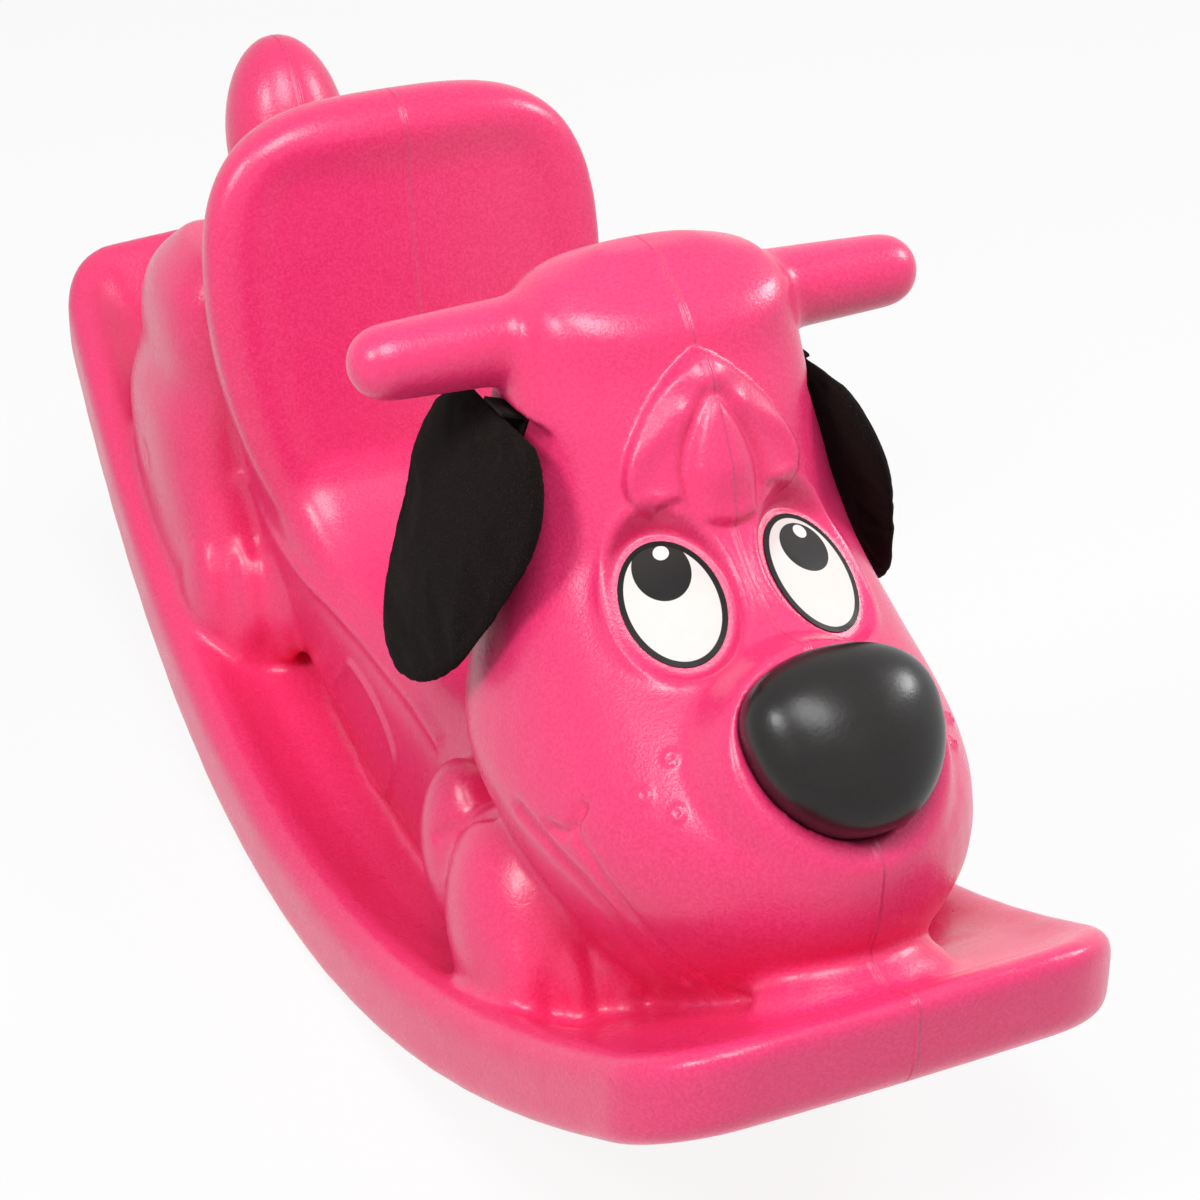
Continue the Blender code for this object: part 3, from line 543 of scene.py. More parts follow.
def show_mixed(nodes, links, share, first, second, kind):
    """Sends a mix of two nodes' outputs to an output node of the given kind."""
    mix = nodes.new("ShaderNodeMixShader")
    for socket, value in zip(mix.inputs, (share, first, second)):
        links.new(value, socket)
    links.new(mix.outputs[0], nodes.new(kind).inputs["Surface"])


def set_world():
    world = bpy.data.worlds.new("studio")
    bpy.context.scene.world = world
    world.use_nodes = True
    nodes, links = world.node_tree.nodes, world.node_tree.links
    nodes.clear()
    lighting = coloured(nodes, "ShaderNodeBackground", (0.97, 0.98, 1.0), WORLD_STRENGTH)
    shown = coloured(nodes, "ShaderNodeBackground", (1, 1, 1), 1.0)
    share = seen_directly(nodes, links)
    show_mixed(nodes, links, share, lighting, shown, "ShaderNodeOutputWorld")


def add_floor():
    bm = bmesh.new()
    bmesh.ops.create_grid(bm, x_segments=1, y_segments=1, size=FLOOR_HALF_SIZE)
    mesh = bpy.data.meshes.new("floor")
    bm.to_mesh(mesh)
    bm.free()
    floor = linked("floor", mesh)
    floor.location.z = -FLOOR_GAP
    made = bpy.data.materials.new("floor")
    made.use_nodes = True
    nodes, links = made.node_tree.nodes, made.node_tree.links
    nodes.clear()
    diffuse = coloured(nodes, "ShaderNodeBsdfDiffuse", FLOOR_COLOUR)
    glow = coloured(nodes, "ShaderNodeEmission", (1, 1, 1), 1.0)
    share = nodes.new("ShaderNodeMath")
    share.operation = "MULTIPLY"
    share.inputs[1].default_value = FLOOR_WHITENESS
    links.new(seen_directly(nodes, links), share.inputs[0])
    show_mixed(nodes, links, share.outputs[0], diffuse, glow, "ShaderNodeOutputMaterial")
    mesh.materials.append(made)


# Materials


class Surface:
    """A Principled material that is built up node by node from the object's own coordinates."""

    def __init__(self, name, colour, roughness):
        self.material = bpy.data.materials.new(name)
        self.material.use_nodes = True
        self.nodes = self.material.node_tree.nodes
        self.links = self.material.node_tree.links
        self.shader = self.nodes["Principled BSDF"]
        self.shader.inputs["Base Color"].default_value = (*colour, 1)
        self.shader.inputs["Roughness"].default_value = roughness
        self.place = self.nodes.new("ShaderNodeTexCoord").outputs["Object"]
        self.normal = None

    def noise(self, scale, detail=2.0, roughness=0.5):
        made = self.nodes.new("ShaderNodeTexNoise")
        for name, number in {"Scale": scale, "Detail": detail, "Roughness": roughness}.items():
            made.inputs[name].default_value = number
        self.links.new(self.place, made.inputs["Vector"])
        return made.outputs["Fac"]

    def math(self, operation, a, b=None):
        made = self.nodes.new("ShaderNodeMath")
        made.operation = operation
        for socket, value in zip(made.inputs, (a, b)):
            if value is None:
                continue
            if isinstance(value, (int, float)):
                socket.default_value = value
            else:
                self.links.new(value, socket)
        return made.outputs[0]

    def between(self, value, low, high, to_low=0.0, to_high=1.0):
        """The value's place between two limits, eased, as a number between two others."""
        made = self.nodes.new("ShaderNodeMapRange")
        made.interpolation_type = "SMOOTHSTEP"
        limits = {"From Min": low, "From Max": high, "To Min": to_low, "To Max": to_high}
        for name, number in limits.items():
            made.inputs[name].default_value = number
        self.links.new(value, made.inputs["Value"])
        return made.outputs["Result"]

    def mix(self, share, a, b):
        """A colour between two colours, each given as numbers or as another node's output."""
        made = self.nodes.new("ShaderNodeMix")
        made.data_type = "RGBA"
        self.links.new(share, made.inputs["Factor"])
        sockets = [s for s in made.inputs if s.type == "RGBA"]
        for socket, value in zip(sockets, (a, b)):
            if isinstance(value, tuple):
                socket.default_value = (*value, 1)
            else:
                self.links.new(value, socket)
        return next(s for s in made.outputs if s.type == "RGBA")

    def fix(self, socket, number):
        self.shader.inputs[socket].default_value = number

    def colour(self, value):
        self.links.new(value, self.shader.inputs["Base Color"])

    def roughness(self, noise, low, high):
        """Lets the roughness drift between two numbers."""
        self.links.new(self.between(noise, 0.3, 0.7, low, high), self.shader.inputs["Roughness"])

    def bump(self, height, distance, strength=1.0):
        made = self.nodes.new("ShaderNodeBump")
        made.inputs["Strength"].default_value = strength
        made.inputs["Distance"].default_value = distance
        self.links.new(height, made.inputs["Height"])
        if self.normal is not None:
            self.links.new(self.normal, made.inputs["Normal"])
        self.normal = made.outputs["Normal"]
        self.links.new(self.normal, self.shader.inputs["Normal"])

    def axes(self):
        made = self.nodes.new("ShaderNodeSeparateXYZ")
        self.links.new(self.place, made.inputs[0])
        return made.outputs


def plastic_surface():
    """Pink moulded plastic: fine grain from the mould, soft colour drift and a parting line."""
    s = Surface("pink_plastic", (0.82, 0.040, 0.18), 0.30)
    s.fix("Specular IOR Level", 0.48)
    s.fix("Coat Weight", 0.12)
    s.fix("Coat Roughness", 0.16)
    drift = s.between(s.noise(5.0), 0.35, 0.65)
    tint = s.mix(drift, (0.790, 0.026, 0.140), (0.835, 0.034, 0.160))
    grain = s.noise(620, detail=3.0, roughness=0.65)
    speck = s.between(grain, 0.36, 0.66)
    s.colour(s.mix(speck, tint, (0.87, 0.048, 0.190)))
    s.roughness(s.noise(38), 0.25, 0.31)
    x = s.axes()["X"]
    ridge = s.between(s.math("ABSOLUTE", x), 0.0002, 0.0022, 1.0, 0.0)
    s.bump(ridge, 0.0008)
    s.bump(grain, 0.00030, 0.75)
    s.bump(s.noise(120), 0.0004, 0.25)
    return s.material


def nose_surface():
    """Satin black plastic with the faint waviness of a moulded cap."""
    s = Surface("satin_black", (0.012, 0.011, 0.011), 0.32)
    s.fix("Specular IOR Level", 0.35)
    s.roughness(s.noise(60), 0.26, 0.33)
    s.colour(s.mix(s.noise(420), (0.0060, 0.0048, 0.0044), (0.0110, 0.0090, 0.0084)))
    s.bump(s.noise(520, detail=3.0), 0.00012, 0.4)
    s.bump(s.noise(35), 0.0006, 0.2)
    return s.material


def eye_surface(side):
    """The printed label: black outline, white, a pupil that looks up and a glint."""
    s = Surface("eye_print_left" if side > 0 else "eye_print_right", (0.80, 0.77, 0.74), 0.35)
    s.fix("Specular IOR Level", 0.10)
    axes = s.axes()
    pupil, pupil_size, glint = EYE_LOOK[side]

    def away(centre, half_x, half_y):
        """1 on an oval's edge; an oval's middle is given outwards and up the eye."""
        x = s.math("DIVIDE", s.math("SUBTRACT", axes["X"], centre[0] * side), half_x)
        y = s.math("DIVIDE", s.math("SUBTRACT", axes["Y"], centre[1]), half_y)
        return s.math("SQRT", s.math("ADD", s.math("POWER", x, 2.0), s.math("POWER", y, 2.0)))

    def inside(centre, half_x, half_y):
        """1 inside an oval and 0 outside it, with an edge as sharp as print."""
        edge = PRINT_EDGE / half_x
        return s.between(away(centre, half_x, half_y), 1 - edge, 1 + edge, 1.0, 0.0)

    white = s.mix(s.noise(90), (0.74, 0.71, 0.68), (0.79, 0.76, 0.73))
    ink = s.mix(s.noise(160), (0.006, 0.005, 0.005), (0.011, 0.010, 0.010))
    low, high = pupil[1] - pupil_size[1], pupil[1] + pupil_size[1]
    # Painted reflection: the pupil's ink is painted lighter towards its top and darker towards its
    # bottom, standing in for the lamps' reflection on a glossy dome
    pupil_painted_reflection = s.mix(s.between(axes["Y"], low, high), (0.006, 0.005, 0.005), (0.030, 0.028, 0.026))
    face = s.mix(inside(pupil, *pupil_size), white, pupil_painted_reflection)
    face = s.mix(inside(glint, GLINT_RADIUS, GLINT_RADIUS), face, (0.82, 0.82, 0.81))
    within = inside((0, 0), EYE_HALF_WIDTH - EYE_OUTLINE, EYE_HALF_HEIGHT - EYE_OUTLINE)
    s.colour(s.mix(within, ink, face))
    s.roughness(s.noise(70), 0.32, 0.40)
    s.bump(s.noise(300), 0.00005, 0.3)
    return s.material


def velour_surface():
    """Short black pile: dull, with fine lighter tips and a soft nap."""
    s = Surface("black_velour", (0.008, 0.006, 0.006), 0.95)
    s.fix("Sheen Weight", 0.03)
    s.fix("Sheen Roughness", 0.45)
    s.fix("Sheen Tint", (0.55, 0.46, 0.44, 1))
    s.fix("Specular IOR Level", 0.08)
    pile = s.noise(1500, detail=4.0, roughness=0.7)
    nap = s.noise(26)
    base = s.mix(nap, (0.0045, 0.0030, 0.0028), (0.0085, 0.0060, 0.0056))
    s.colour(s.mix(s.between(pile, 0.54, 0.74), base, (0.045, 0.032, 0.028)))
    s.roughness(nap, 0.88, 0.98)
    s.bump(pile, 0.0005, 0.8)
    s.bump(nap, 0.0010, 0.3)
    return s.material


def tab_surface():
    """Matte black strip plastic that holds the ear."""
    s = Surface("matte_black", (0.009, 0.008, 0.008), 0.80)
    s.fix("Specular IOR Level", 0.15)
    s.colour(s.mix(s.noise(300), (0.007, 0.006, 0.006), (0.014, 0.012, 0.012)))
    s.roughness(s.noise(80), 0.76, 0.86)
    s.bump(s.noise(700), 0.0001, 0.5)
    return s.material


def steel_surface():
    """Plated steel with fine turning marks."""
    s = Surface("plated_steel", (0.56, 0.56, 0.58), 0.3)
    s.fix("Metallic", 1.0)
    s.colour(s.mix(s.noise(240), (0.50, 0.50, 0.52), (0.62, 0.62, 0.63)))
    s.roughness(s.noise(900), 0.24, 0.38)
    s.bump(s.noise(1400), 0.00004, 0.4)
    return s.material


# Forms of the moulding


def rocker(y):
    """Height of the rocker's underside over its lowest line."""
    d = y - REST_Y
    return ROCKER_CURVE * d * d - ROCKER_EASE * d**4


def smooth_row(table, t):
    """Smooth values between the rows of a short table, whose first column is the place."""
    xs = [row[0] for row in table]
    t = min(max(t, xs[0]), xs[-1])
    i = max(k for k in range(len(xs) - 1) if xs[k] <= t)
    span = xs[i + 1] - xs[i]
    u = (t - xs[i]) / span
    found = []
    for column in range(1, len(table[0])):
        ys = [row[column] for row in table]
        slopes = []
        for k in (i, i + 1):
            a, b = max(k - 1, 0), min(k + 1, len(xs) - 1)
            slopes.append(span * (ys[b] - ys[a]) / (xs[b] - xs[a]))
        found.append(
            (2 * u**3 - 3 * u**2 + 1) * ys[i]
            + (u**3 - 2 * u**2 + u) * slopes[0]
            + (-2 * u**3 + 3 * u**2) * ys[i + 1]
            + (u**3 - u**2) * slopes[1]
        )
    return found


def join_rings(bm, rings):
    """Joins closed rings of equal count with faces and gives their corners."""
    rows = [[bm.verts.new(p) for p in ring] for ring in rings]
    count = len(rows[0])
    for low, high in zip(rows, rows[1:]):
        for i in range(count):
            j = (i + 1) % count
            bm.faces.new((low[i], low[j], high[j], high[i]))
    return rows


def add_loft(bm, rings):
    """Joins rings and caps both ends."""
    rows = join_rings(bm, rings)
    bm.faces.new(list(reversed(rows[0])))
    bm.faces.new(rows[-1])


def power_of(value, power):
    return math.copysign(abs(value) ** power, value)


def superellipse(count, half_x, front, back, power_front, power_back, y0):
    """A closed plan section: X half width, reach to the front and back of y0, and boxiness."""
    points = []
    for i in range(count):
        a = 2 * math.pi * i / count
        c, s = math.cos(a), math.sin(a)
        power = power_front if s < 0 else power_back
        reach = front if s < 0 else back
        points.append((half_x * power_of(c, 2 / power), y0 + reach * power_of(s, 2 / power)))
    return points


def add_form(bm, centre, radii, turn, sides):
    """An ellipsoid turned about X, on the sides that are given."""
    for side in sides:
        place = Matrix.Translation(mirrored(centre, side))
        place @= Matrix.Rotation(math.radians(turn), 4, "X") @ Matrix.Diagonal((*radii, 1))
        bmesh.ops.create_uvsphere(
            bm, u_segments=FORM_SEGMENTS, v_segments=FORM_RINGS, radius=1, matrix=place
        )


def tray_side(y, inset):
    return WIDTH / 2 - inset - END_TAPER * (y / (LENGTH / 2)) ** 2


def tray_end(inset, radius):
    """Half of one end's plan outline, from its middle round the corner: x and the way outwards."""
    half = LENGTH / 2 - inset
    corner = max(radius - inset, SMALLEST_CORNER)
    x_end = tray_side(half - corner, inset) - corner
    along = [x_end * i / END_STEPS for i in range(END_STEPS)]
    points = [(x, half - END_BOW * x**2) for x in along]
    y_end = half - END_BOW * x_end**2
    for i in range(END_STEPS + 1):
        a = math.pi / 2 * i / END_STEPS
        points.append((x_end + corner * math.sin(a), y_end - corner * (1 - math.cos(a))))
    return points


def tray_outline(inset):
    """The +X half of the tray's plan outline, moved in by inset, from its front end to its rear."""
    front = tray_end(inset, FRONT_CORNER_RADIUS)
    rear = tray_end(inset, REAR_CORNER_RADIUS)
    points = [(x, -out) for x, out in front]
    for i in range(1, SIDE_STEPS):
        share = i / SIDE_STEPS
        y = -front[-1][1] * (1 - share) + rear[-1][1] * share
        fit = (1 - share) * front[-1][0] / tray_side(front[-1][1], inset)
        fit += share * rear[-1][0] / tray_side(rear[-1][1], inset)
        points.append((tray_side(y, inset) * fit, y))
    return points + [(x, out) for x, out in reversed(rear)]


def tray_height(inset, height, y):
    """Height over the rocker's underside, with the dish running out towards the front."""
    if inset < RIM_WIDTH or height < TRAY_DEPTH / 2:
        return height
    share = float(smooth_step((-y - DISH_END) / DISH_END_EASE))
    return height + (TRAY_DEPTH - DISH_END_DEPTH - height) * share


def add_tray(bm):
    """The rocker tray: a rim profile swept round the plan outline, laid on the rocker's curve."""
    profile = [(RUNNER_WIDTH + CHANNEL_SLOPE, CHANNEL_DEPTH), (RUNNER_WIDTH, 0.0)]
    turns = [math.pi / 2 * i / ROUND_STEPS for i in range(ROUND_STEPS + 1)]
    for a in turns:
        profile.append((EDGE_RADIUS * (1 - math.sin(a)), EDGE_RADIUS * (1 - math.cos(a))))
    for a in turns:
        height = TRAY_DEPTH - RIM_RADIUS * (1 - math.sin(a))
        profile.append((RIM_RADIUS * (1 - math.cos(a)), height))
    for across, down in RIM_SLOPE:
        profile.append((RIM_WIDTH * across, TRAY_DEPTH - DISH_DEPTH * down))
    rings = []
    for inset, height in profile:
        right = tray_outline(inset)
        ring = right + [(-x, y) for x, y in reversed(right[1:-1])]
        rings.append([(x, y, rocker(y) + tray_height(inset, height, y)) for x, y in ring])
    loops = join_rings(bm, rings)
    count = len(loops[0])
    for loop in (loops[0], loops[-1]):
        for i in range(count // 2):
            corners = []
            for k in (i, i + 1, count - i - 1, count - i):
                if loop[k % count] not in corners:
                    corners.append(loop[k % count])
            if len(corners) > 2:
                bm.faces.new(corners)


def add_trunk(bm):
    """The trunk from chest to rump, lofted along Y; its upper side is the dished seat."""
    rings = []
    first, last = TRUNK_SECTIONS[0][0], TRUNK_SECTIONS[-1][0]
    for k in range(int((last - first) / TRUNK_STEP) + 1):
        y = first + k * TRUNK_STEP
        half, rise, foot = smooth_row(TRUNK_SECTIONS, y)
        floor = rocker(y) + TRUNK_SINK
        top = SEAT_HEIGHT + rise + SEAT_RIM
        ring = []
        for i in range(TRUNK_POINTS):
            a = 2 * math.pi * i / TRUNK_POINTS
            up = 0.5 * (1 + power_of(math.sin(a), TRUNK_TOP_POWER))
            x = (foot + (half - foot) * up) * power_of(math.cos(a), TRUNK_SIDE_POWER)
            dish = SEAT_RIM * max(0.0, 1 - (x / (half - SEAT_RIM)) ** 4)
            dish *= max(0.0, (up - SEAT_DISH_START) / (1 - SEAT_DISH_START))
            ring.append((x, y, floor + (top - floor) * up - dish))
        rings.append(ring)
    add_loft(bm, rings)


def back_half_width(from_top, height):
    """Half width of the backrest: a squarish arch at its top, and a waist at the seat."""
    rise = min(1.0, max(0.0, 1 - from_top / BACK_ARCH))
    half = BACK_HALF_WIDTH * (1 - rise**BACK_BOXINESS) ** (1 / BACK_BOXINESS)
    low = max(0.0, 1 - height / BACK_FOOT_HEIGHT)
    return max(BACK_TIP_HALF_WIDTH, half - BACK_FOOT_TAPER * low * low)


def add_backrest(bm):
    """The backrest: plan sections stacked to its arched top, with a rolled rim, and reclined."""
    bottom = SEAT_HEIGHT + BACK_START
    across, at_front, at_back = BACK_POWERS
    rings = []
    for k in range(BACK_ROWS + 1):
        z = bottom + (BACK_TOP - bottom) * math.sin(math.pi / 2 * k / BACK_ROWS)
        from_top = BACK_TOP - z
        half = back_half_width(from_top, z - bottom)
        edge = BACK_Y + BACK_SCOOP - from_top * math.tan(BACK_RECLINE)
        roll = min(1.0, from_top / BACK_ROLL)
        swell = math.sqrt(1 - (1 - roll) ** 2)
        front = edge - BACK_SCOOP * swell
        back = edge + (BACK_THICKNESS - BACK_SCOOP) * swell + BACK_FLARE * from_top
        below_rim = float(smooth_step((from_top - BACK_RIM) / BACK_RIM_EASE))
        ring = []
        for i in range(BACK_POINTS):
            a = 2 * math.pi * i / BACK_POINTS
            c, s = math.cos(a), math.sin(a)
            x = half * power_of(c, across)
            if s < 0:
                inside = float(smooth_step((half - abs(x) - BACK_RIM) / BACK_RIM_EASE))
                y = edge + (front - edge) * abs(s) ** at_front + BACK_DISH * inside * below_rim
            else:
                y = edge + (back - edge) * s**at_back
                x *= 1 - BACK_REAR_TAPER * s * s
            ring.append((x, y, z))
        rings.append(ring)
    add_loft(bm, rings)


def add_sections(bm, table, outline, side=1):
    """Stacks plan sections up a table's heights, each with the outline that its row gives."""
    low, high = table[0][0], table[-1][0]
    steps = round((high - low) / SECTION_STEP)
    rings = []
    for k in range(steps + 1):
        height = low + (high - low) * k / steps
        ring = outline(height, *smooth_row(table, height))
        rings.append([(x * side, y, z) for x, y, z in ring])
    add_loft(bm, rings)


def head_outline(z, front, widest, back, half, boxiness):
    reach = widest - front, back - widest
    section = superellipse(HEAD_POINTS, half, *reach, boxiness, HEAD_BACK_BOXINESS, widest)
    return [(x, y, z) for x, y in section]


def leg_outline(z, front, back, outer, inner):
    """A hind leg's section on the left side."""
    middle_x, middle_y = (outer + inner) / 2, front + LEG_WIDEST * (back - front)
    reach = middle_y - front, back - middle_y
    section = superellipse(LEG_POINTS, (outer - inner) / 2, *reach, *LEG_BOXINESS, middle_y)
    return [(middle_x + x, y, max(z, rocker(y) + FOOT_SINK)) for x, y in section]


def add_handles(bm):
    """Two tapered handles with round ends."""
    reach = HANDLE_SPAN / 2 - HANDLE_TIP_RADIUS
    profile = [(0.0, HANDLE_ROOT_RADIUS), (HANDLE_NECK, HANDLE_ROOT_RADIUS)]
    profile.append((reach, HANDLE_TIP_RADIUS))
    for i in range(1, HANDLE_TIP_STEPS):
        a = math.pi / 2 * i / HANDLE_TIP_STEPS
        end = reach + HANDLE_TIP_RADIUS * math.sin(a)
        profile.append((end, HANDLE_TIP_RADIUS * math.cos(a)))
    for side in (1, -1):
        turns = [2 * math.pi * i / HANDLE_POINTS * side for i in range(HANDLE_POINTS)]
        rings = []
        for x, r in profile:
            circle = [(HANDLE_Y + r * math.cos(a), HANDLE_Z + r * math.sin(a)) for a in turns]
            rings.append([(x * side, y, z) for y, z in circle])
        add_loft(bm, rings)


def moulding_blank():
    bm = bmesh.new()
    add_tray(bm)
    add_trunk(bm)
    add_backrest(bm)
    add_sections(bm, HEAD_SECTIONS, head_outline)
    add_handles(bm)
    for side in (1, -1):
        add_sections(bm, HIND_LEG_SECTIONS, leg_outline, side)
    for centre, radii, turn in PAIRED_FORMS:
        add_form(bm, centre, radii, turn, (1, -1))
    for centre, radii, turn in MIDDLE_FORMS:
        add_form(bm, centre, radii, turn, (1,))
    for centre, radii, turn, step in TOES:
        for k in range(3):
            add_form(bm, Vector(centre) + Vector(step) * k, radii, turn, (1, -1))
    return mesh_of(bm, "moulding")


def remeshed(obj, voxel, rounding):
    """One closed surface of even, small faces, with its joins rounded."""
    merge = obj.modifiers.new("merge", "REMESH")
    merge.mode = "VOXEL"
    merge.voxel_size = voxel
    soften(obj, rounding)


def soften(obj, steps):
    even = obj.modifiers.new("even", "SMOOTH")
    even.factor = 0.5
    even.iterations = steps
    applied(obj)


# Seats and cuts


def eye_axes(side):
    """Directions outwards across an eye, along its turned oval and out of its face."""
    facing = mirrored(EYE_FACING, side)
    up = (Vector((0, 0, 1)) - facing * facing.z).normalized()
    out = up.cross(facing) * side
    c, s = math.cos(EYE_TURN), math.sin(EYE_TURN)
    return out * c + up * s, up * c - out * s, facing


def oval_distance(points, centre, across, along, half_across, half_along):
    """1 on an oval's edge, less inside it and more outside, for points seen along its facing."""
    local = points - np.array(centre)
    return np.hypot(local @ np.array(across) / half_across, local @ np.array(along) / half_along)


def flatten(points, centre, axes, half_across, half_along, ease, sink=0.0):
    """Presses an oval of the surface onto the plane through its centre, easing out round it."""
    across, along, facing = axes
    radius = oval_distance(points, centre, across, along, half_across, half_along)
    height = (points - np.array(centre)) @ np.array(facing)
    near = np.abs(height) < RELIEF_REACH
    weight = smooth_step((SEAT_MARGIN + ease - radius) / ease) * near
    points -= ((height + sink) * weight)[:, None] * np.array(facing)


def nose_axes():
    return Vector((1, 0, 0)), NOSE_FACING.cross(Vector((1, 0, 0))), NOSE_FACING


def nose_ring(grow, height, count):
    """The nose's outline at a height over its seat: a rounded triangle, wider at the top."""
    middle = NOSE_MIDDLE * NOSE_HEIGHT
    reach = (NOSE_HEIGHT + grow - middle) if height > middle else 1.5 * NOSE_HEIGHT
    share = math.sqrt(max(0.0, 1 - ((height - middle) / reach) ** 2))
    across, along, facing = nose_axes()
    ring = []
    for i in range(count):
        a = 2 * math.pi * i / count
        up = math.sin(a)
        x = power_of(math.cos(a), NOSE_POWER) * (NOSE_HALF_WIDTH + grow) * share
        place = NOSE_SEAT + facing * height + across * (x * (1 + NOSE_TAPER * up))
        ring.append(place + along * (power_of(up, NOSE_POWER) * (NOSE_HALF_LENGTH + grow) * share))
    return ring


def nose_rings(grow, bottom, steps, count):
    top = NOSE_HEIGHT + grow
    shares = [math.sin(math.pi / 2 * k / steps) for k in range(steps)] + [NOSE_TIP_SHARE]
    return [nose_ring(grow, bottom + (top - bottom) * share, count) for share in shares]


def ear_points(side, flat):
    """Points given along Y, down the ear's plane and outwards from it, as places."""
    y, down, out = flat[:, 0], flat[:, 1], flat[:, 2]
    x = EAR_AXIS_X + down * math.sin(EAR_LEAN) + out * math.cos(EAR_LEAN)
    z = EAR_AXIS_Z - down * math.cos(EAR_LEAN) + out * math.sin(EAR_LEAN)
    return np.stack([x * side, y, z], axis=1)


def ear_outline(count):
    return [(y, max(down, -EAR_TOP_RADIUS)) for y, down in closed_outline(EAR_OUTLINE, count)]


def recess_rings(side):
    """The recess that the ear lies in: the ear's outline with a margin, from floor to outside."""
    outline = np.array(ear_outline(RECESS_POINTS))
    middle = outline.mean(axis=0)
    away = outline - middle
    length = np.linalg.norm(away, axis=1)
    wide = middle + away * (1 + RECESS_MARGIN / length)[:, None]
    wide[:, 1] = np.maximum(wide[:, 1], -EAR_TOP_RADIUS - RECESS_HEADROOM)
    rings = []
    for out in (-RECESS_OFFSET, RECESS_REACH):
        rings.append(ear_points(side, np.column_stack([wide, np.full(len(wide), out)])))
    return rings


def cut(obj, rings):
    """Cuts a loft out of the object."""
    bm = bmesh.new()
    add_loft(bm, rings)
    cutter = linked("cutter", mesh_of(bm, "cutter"))
    step = obj.modifiers.new("cut", "BOOLEAN")
    step.operation = "DIFFERENCE"
    step.solver = "EXACT"
    step.object = cutter
    applied(obj)
    bpy.data.objects.remove(cutter, do_unlink=True)


# Relief


def raise_tuft(points, normals):
    """Raises the tuft on the forehead: a ridged middle lock between two side locks."""
    outline = TUFT_OUTLINE + [(-x, z) for x, z in reversed(TUFT_OUTLINE[1:-1])]
    lowest = min(z for _, z in TUFT_OUTLINE)
    chosen = np.flatnonzero((points[:, 1] < TUFT_FRONT) & (points[:, 2] > lowest))
    flat = points[chosen][:, [0, 2]]
    share = np.clip(inside_by(flat, closed_outline(outline, TUFT_POINTS)) / TUFT_EDGE, 0, 1)
    height = TUFT_HEIGHT + soft_line(flat, MIDDLE_RIDGE, MIDDLE_RIDGE_HEIGHT, MIDDLE_RIDGE_WIDTH)
    flat[:, 0] = np.abs(flat[:, 0])
    height += soft_line(flat, SIDE_RIDGE, SIDE_RIDGE_HEIGHT, SIDE_RIDGE_WIDTH)
    height -= soft_line(flat, LOCK_GROOVE, GROOVE_DEPTH, GROOVE_WIDTH)
    points[chosen] += normals[chosen] * (height * np.sqrt(1 - (1 - share) ** 2))[:, None]


def raise_eye_rim(points, normals, side):
    """Raises the soft rim that runs round an eye."""
    across, along, facing = eye_axes(side)
    centre = mirrored(EYE_PLACE, side)
    half_across, half_along = EYE_HALF_WIDTH + EYE_RIM_GAP, EYE_HALF_HEIGHT + EYE_RIM_GAP
    radius = oval_distance(points, centre, across, along, half_across, half_along)
    near = np.abs((points - np.array(centre)) @ np.array(facing)) < RELIEF_REACH
    rise = EYE_RIM_HEIGHT * np.exp(-(((radius - 1) * half_across / EYE_RIM_WIDTH) ** 2))
    points += normals * (rise * near)[:, None]


def seat_eye(points, side, sink):
    flatten(
        points, mirrored(EYE_PLACE, side), eye_axes(side),
        EYE_HALF_WIDTH, EYE_HALF_HEIGHT, EYE_EASE, sink,
    )


def distance(points, place):
    return np.linalg.norm(points - np.array(place), axis=1)


def press_spot(points, normals, place, depth, radius):
    away = distance(points, place)
    points -= normals * (depth * np.exp(-((away / radius) ** 2)))[:, None]


def raise_whisker(points, normals, place):
    """A small crater: a ring with a dimple in it, where a whisker would be."""
    away = distance(points, place)
    rise = np.exp(-(((away - WHISKER_RADIUS) / WHISKER_WIDTH) ** 2))
    rise -= WHISKER_DIMPLE * np.exp(-((away / WHISKER_WIDTH) ** 2))
    points += normals * (WHISKER_DEPTH * rise)[:, None]


def raise_badge_ring(points, normals):
    """The bare raised ring on the right flank."""
    chosen = np.flatnonzero(points[:, 0] < BADGE_FLANK)
    outline = closed_outline(BADGE_OUTLINE, BADGE_POINTS)
    rise = soft_line(points[chosen][:, [1, 2]], outline + outline[:1], BADGE_HEIGHT, BADGE_WIDTH)
    facing = np.clip(-normals[chosen][:, 0], 0, 1)
    near = points[chosen][:, 0] > BADGE_INNER
    points[chosen] += normals[chosen] * (rise * facing * near)[:, None]


def add_relief(mesh):
    points, normals = points_of(mesh), normals_of(mesh)
    raise_tuft(points, normals)
    for side in (1, -1):
        raise_eye_rim(points, normals, side)
        seat_eye(points, side, EYE_PROUD)
        for depth, width, line in GROOVES:
            path = [mirrored(p, side) for p in line]
            points -= normals * soft_line(points, path, depth, width)[:, None]
        for place in WHISKER_PLACES:
            raise_whisker(points, normals, mirrored(place, side))
        press_spot(points, normals, mirrored(HIP_DIMPLE, side), HIP_DIMPLE_DEPTH, HIP_DIMPLE_RADIUS)
    raise_badge_ring(points, normals)
    points[:, 2] = np.maximum(points[:, 2], FLOOR)
    set_points(mesh, points)


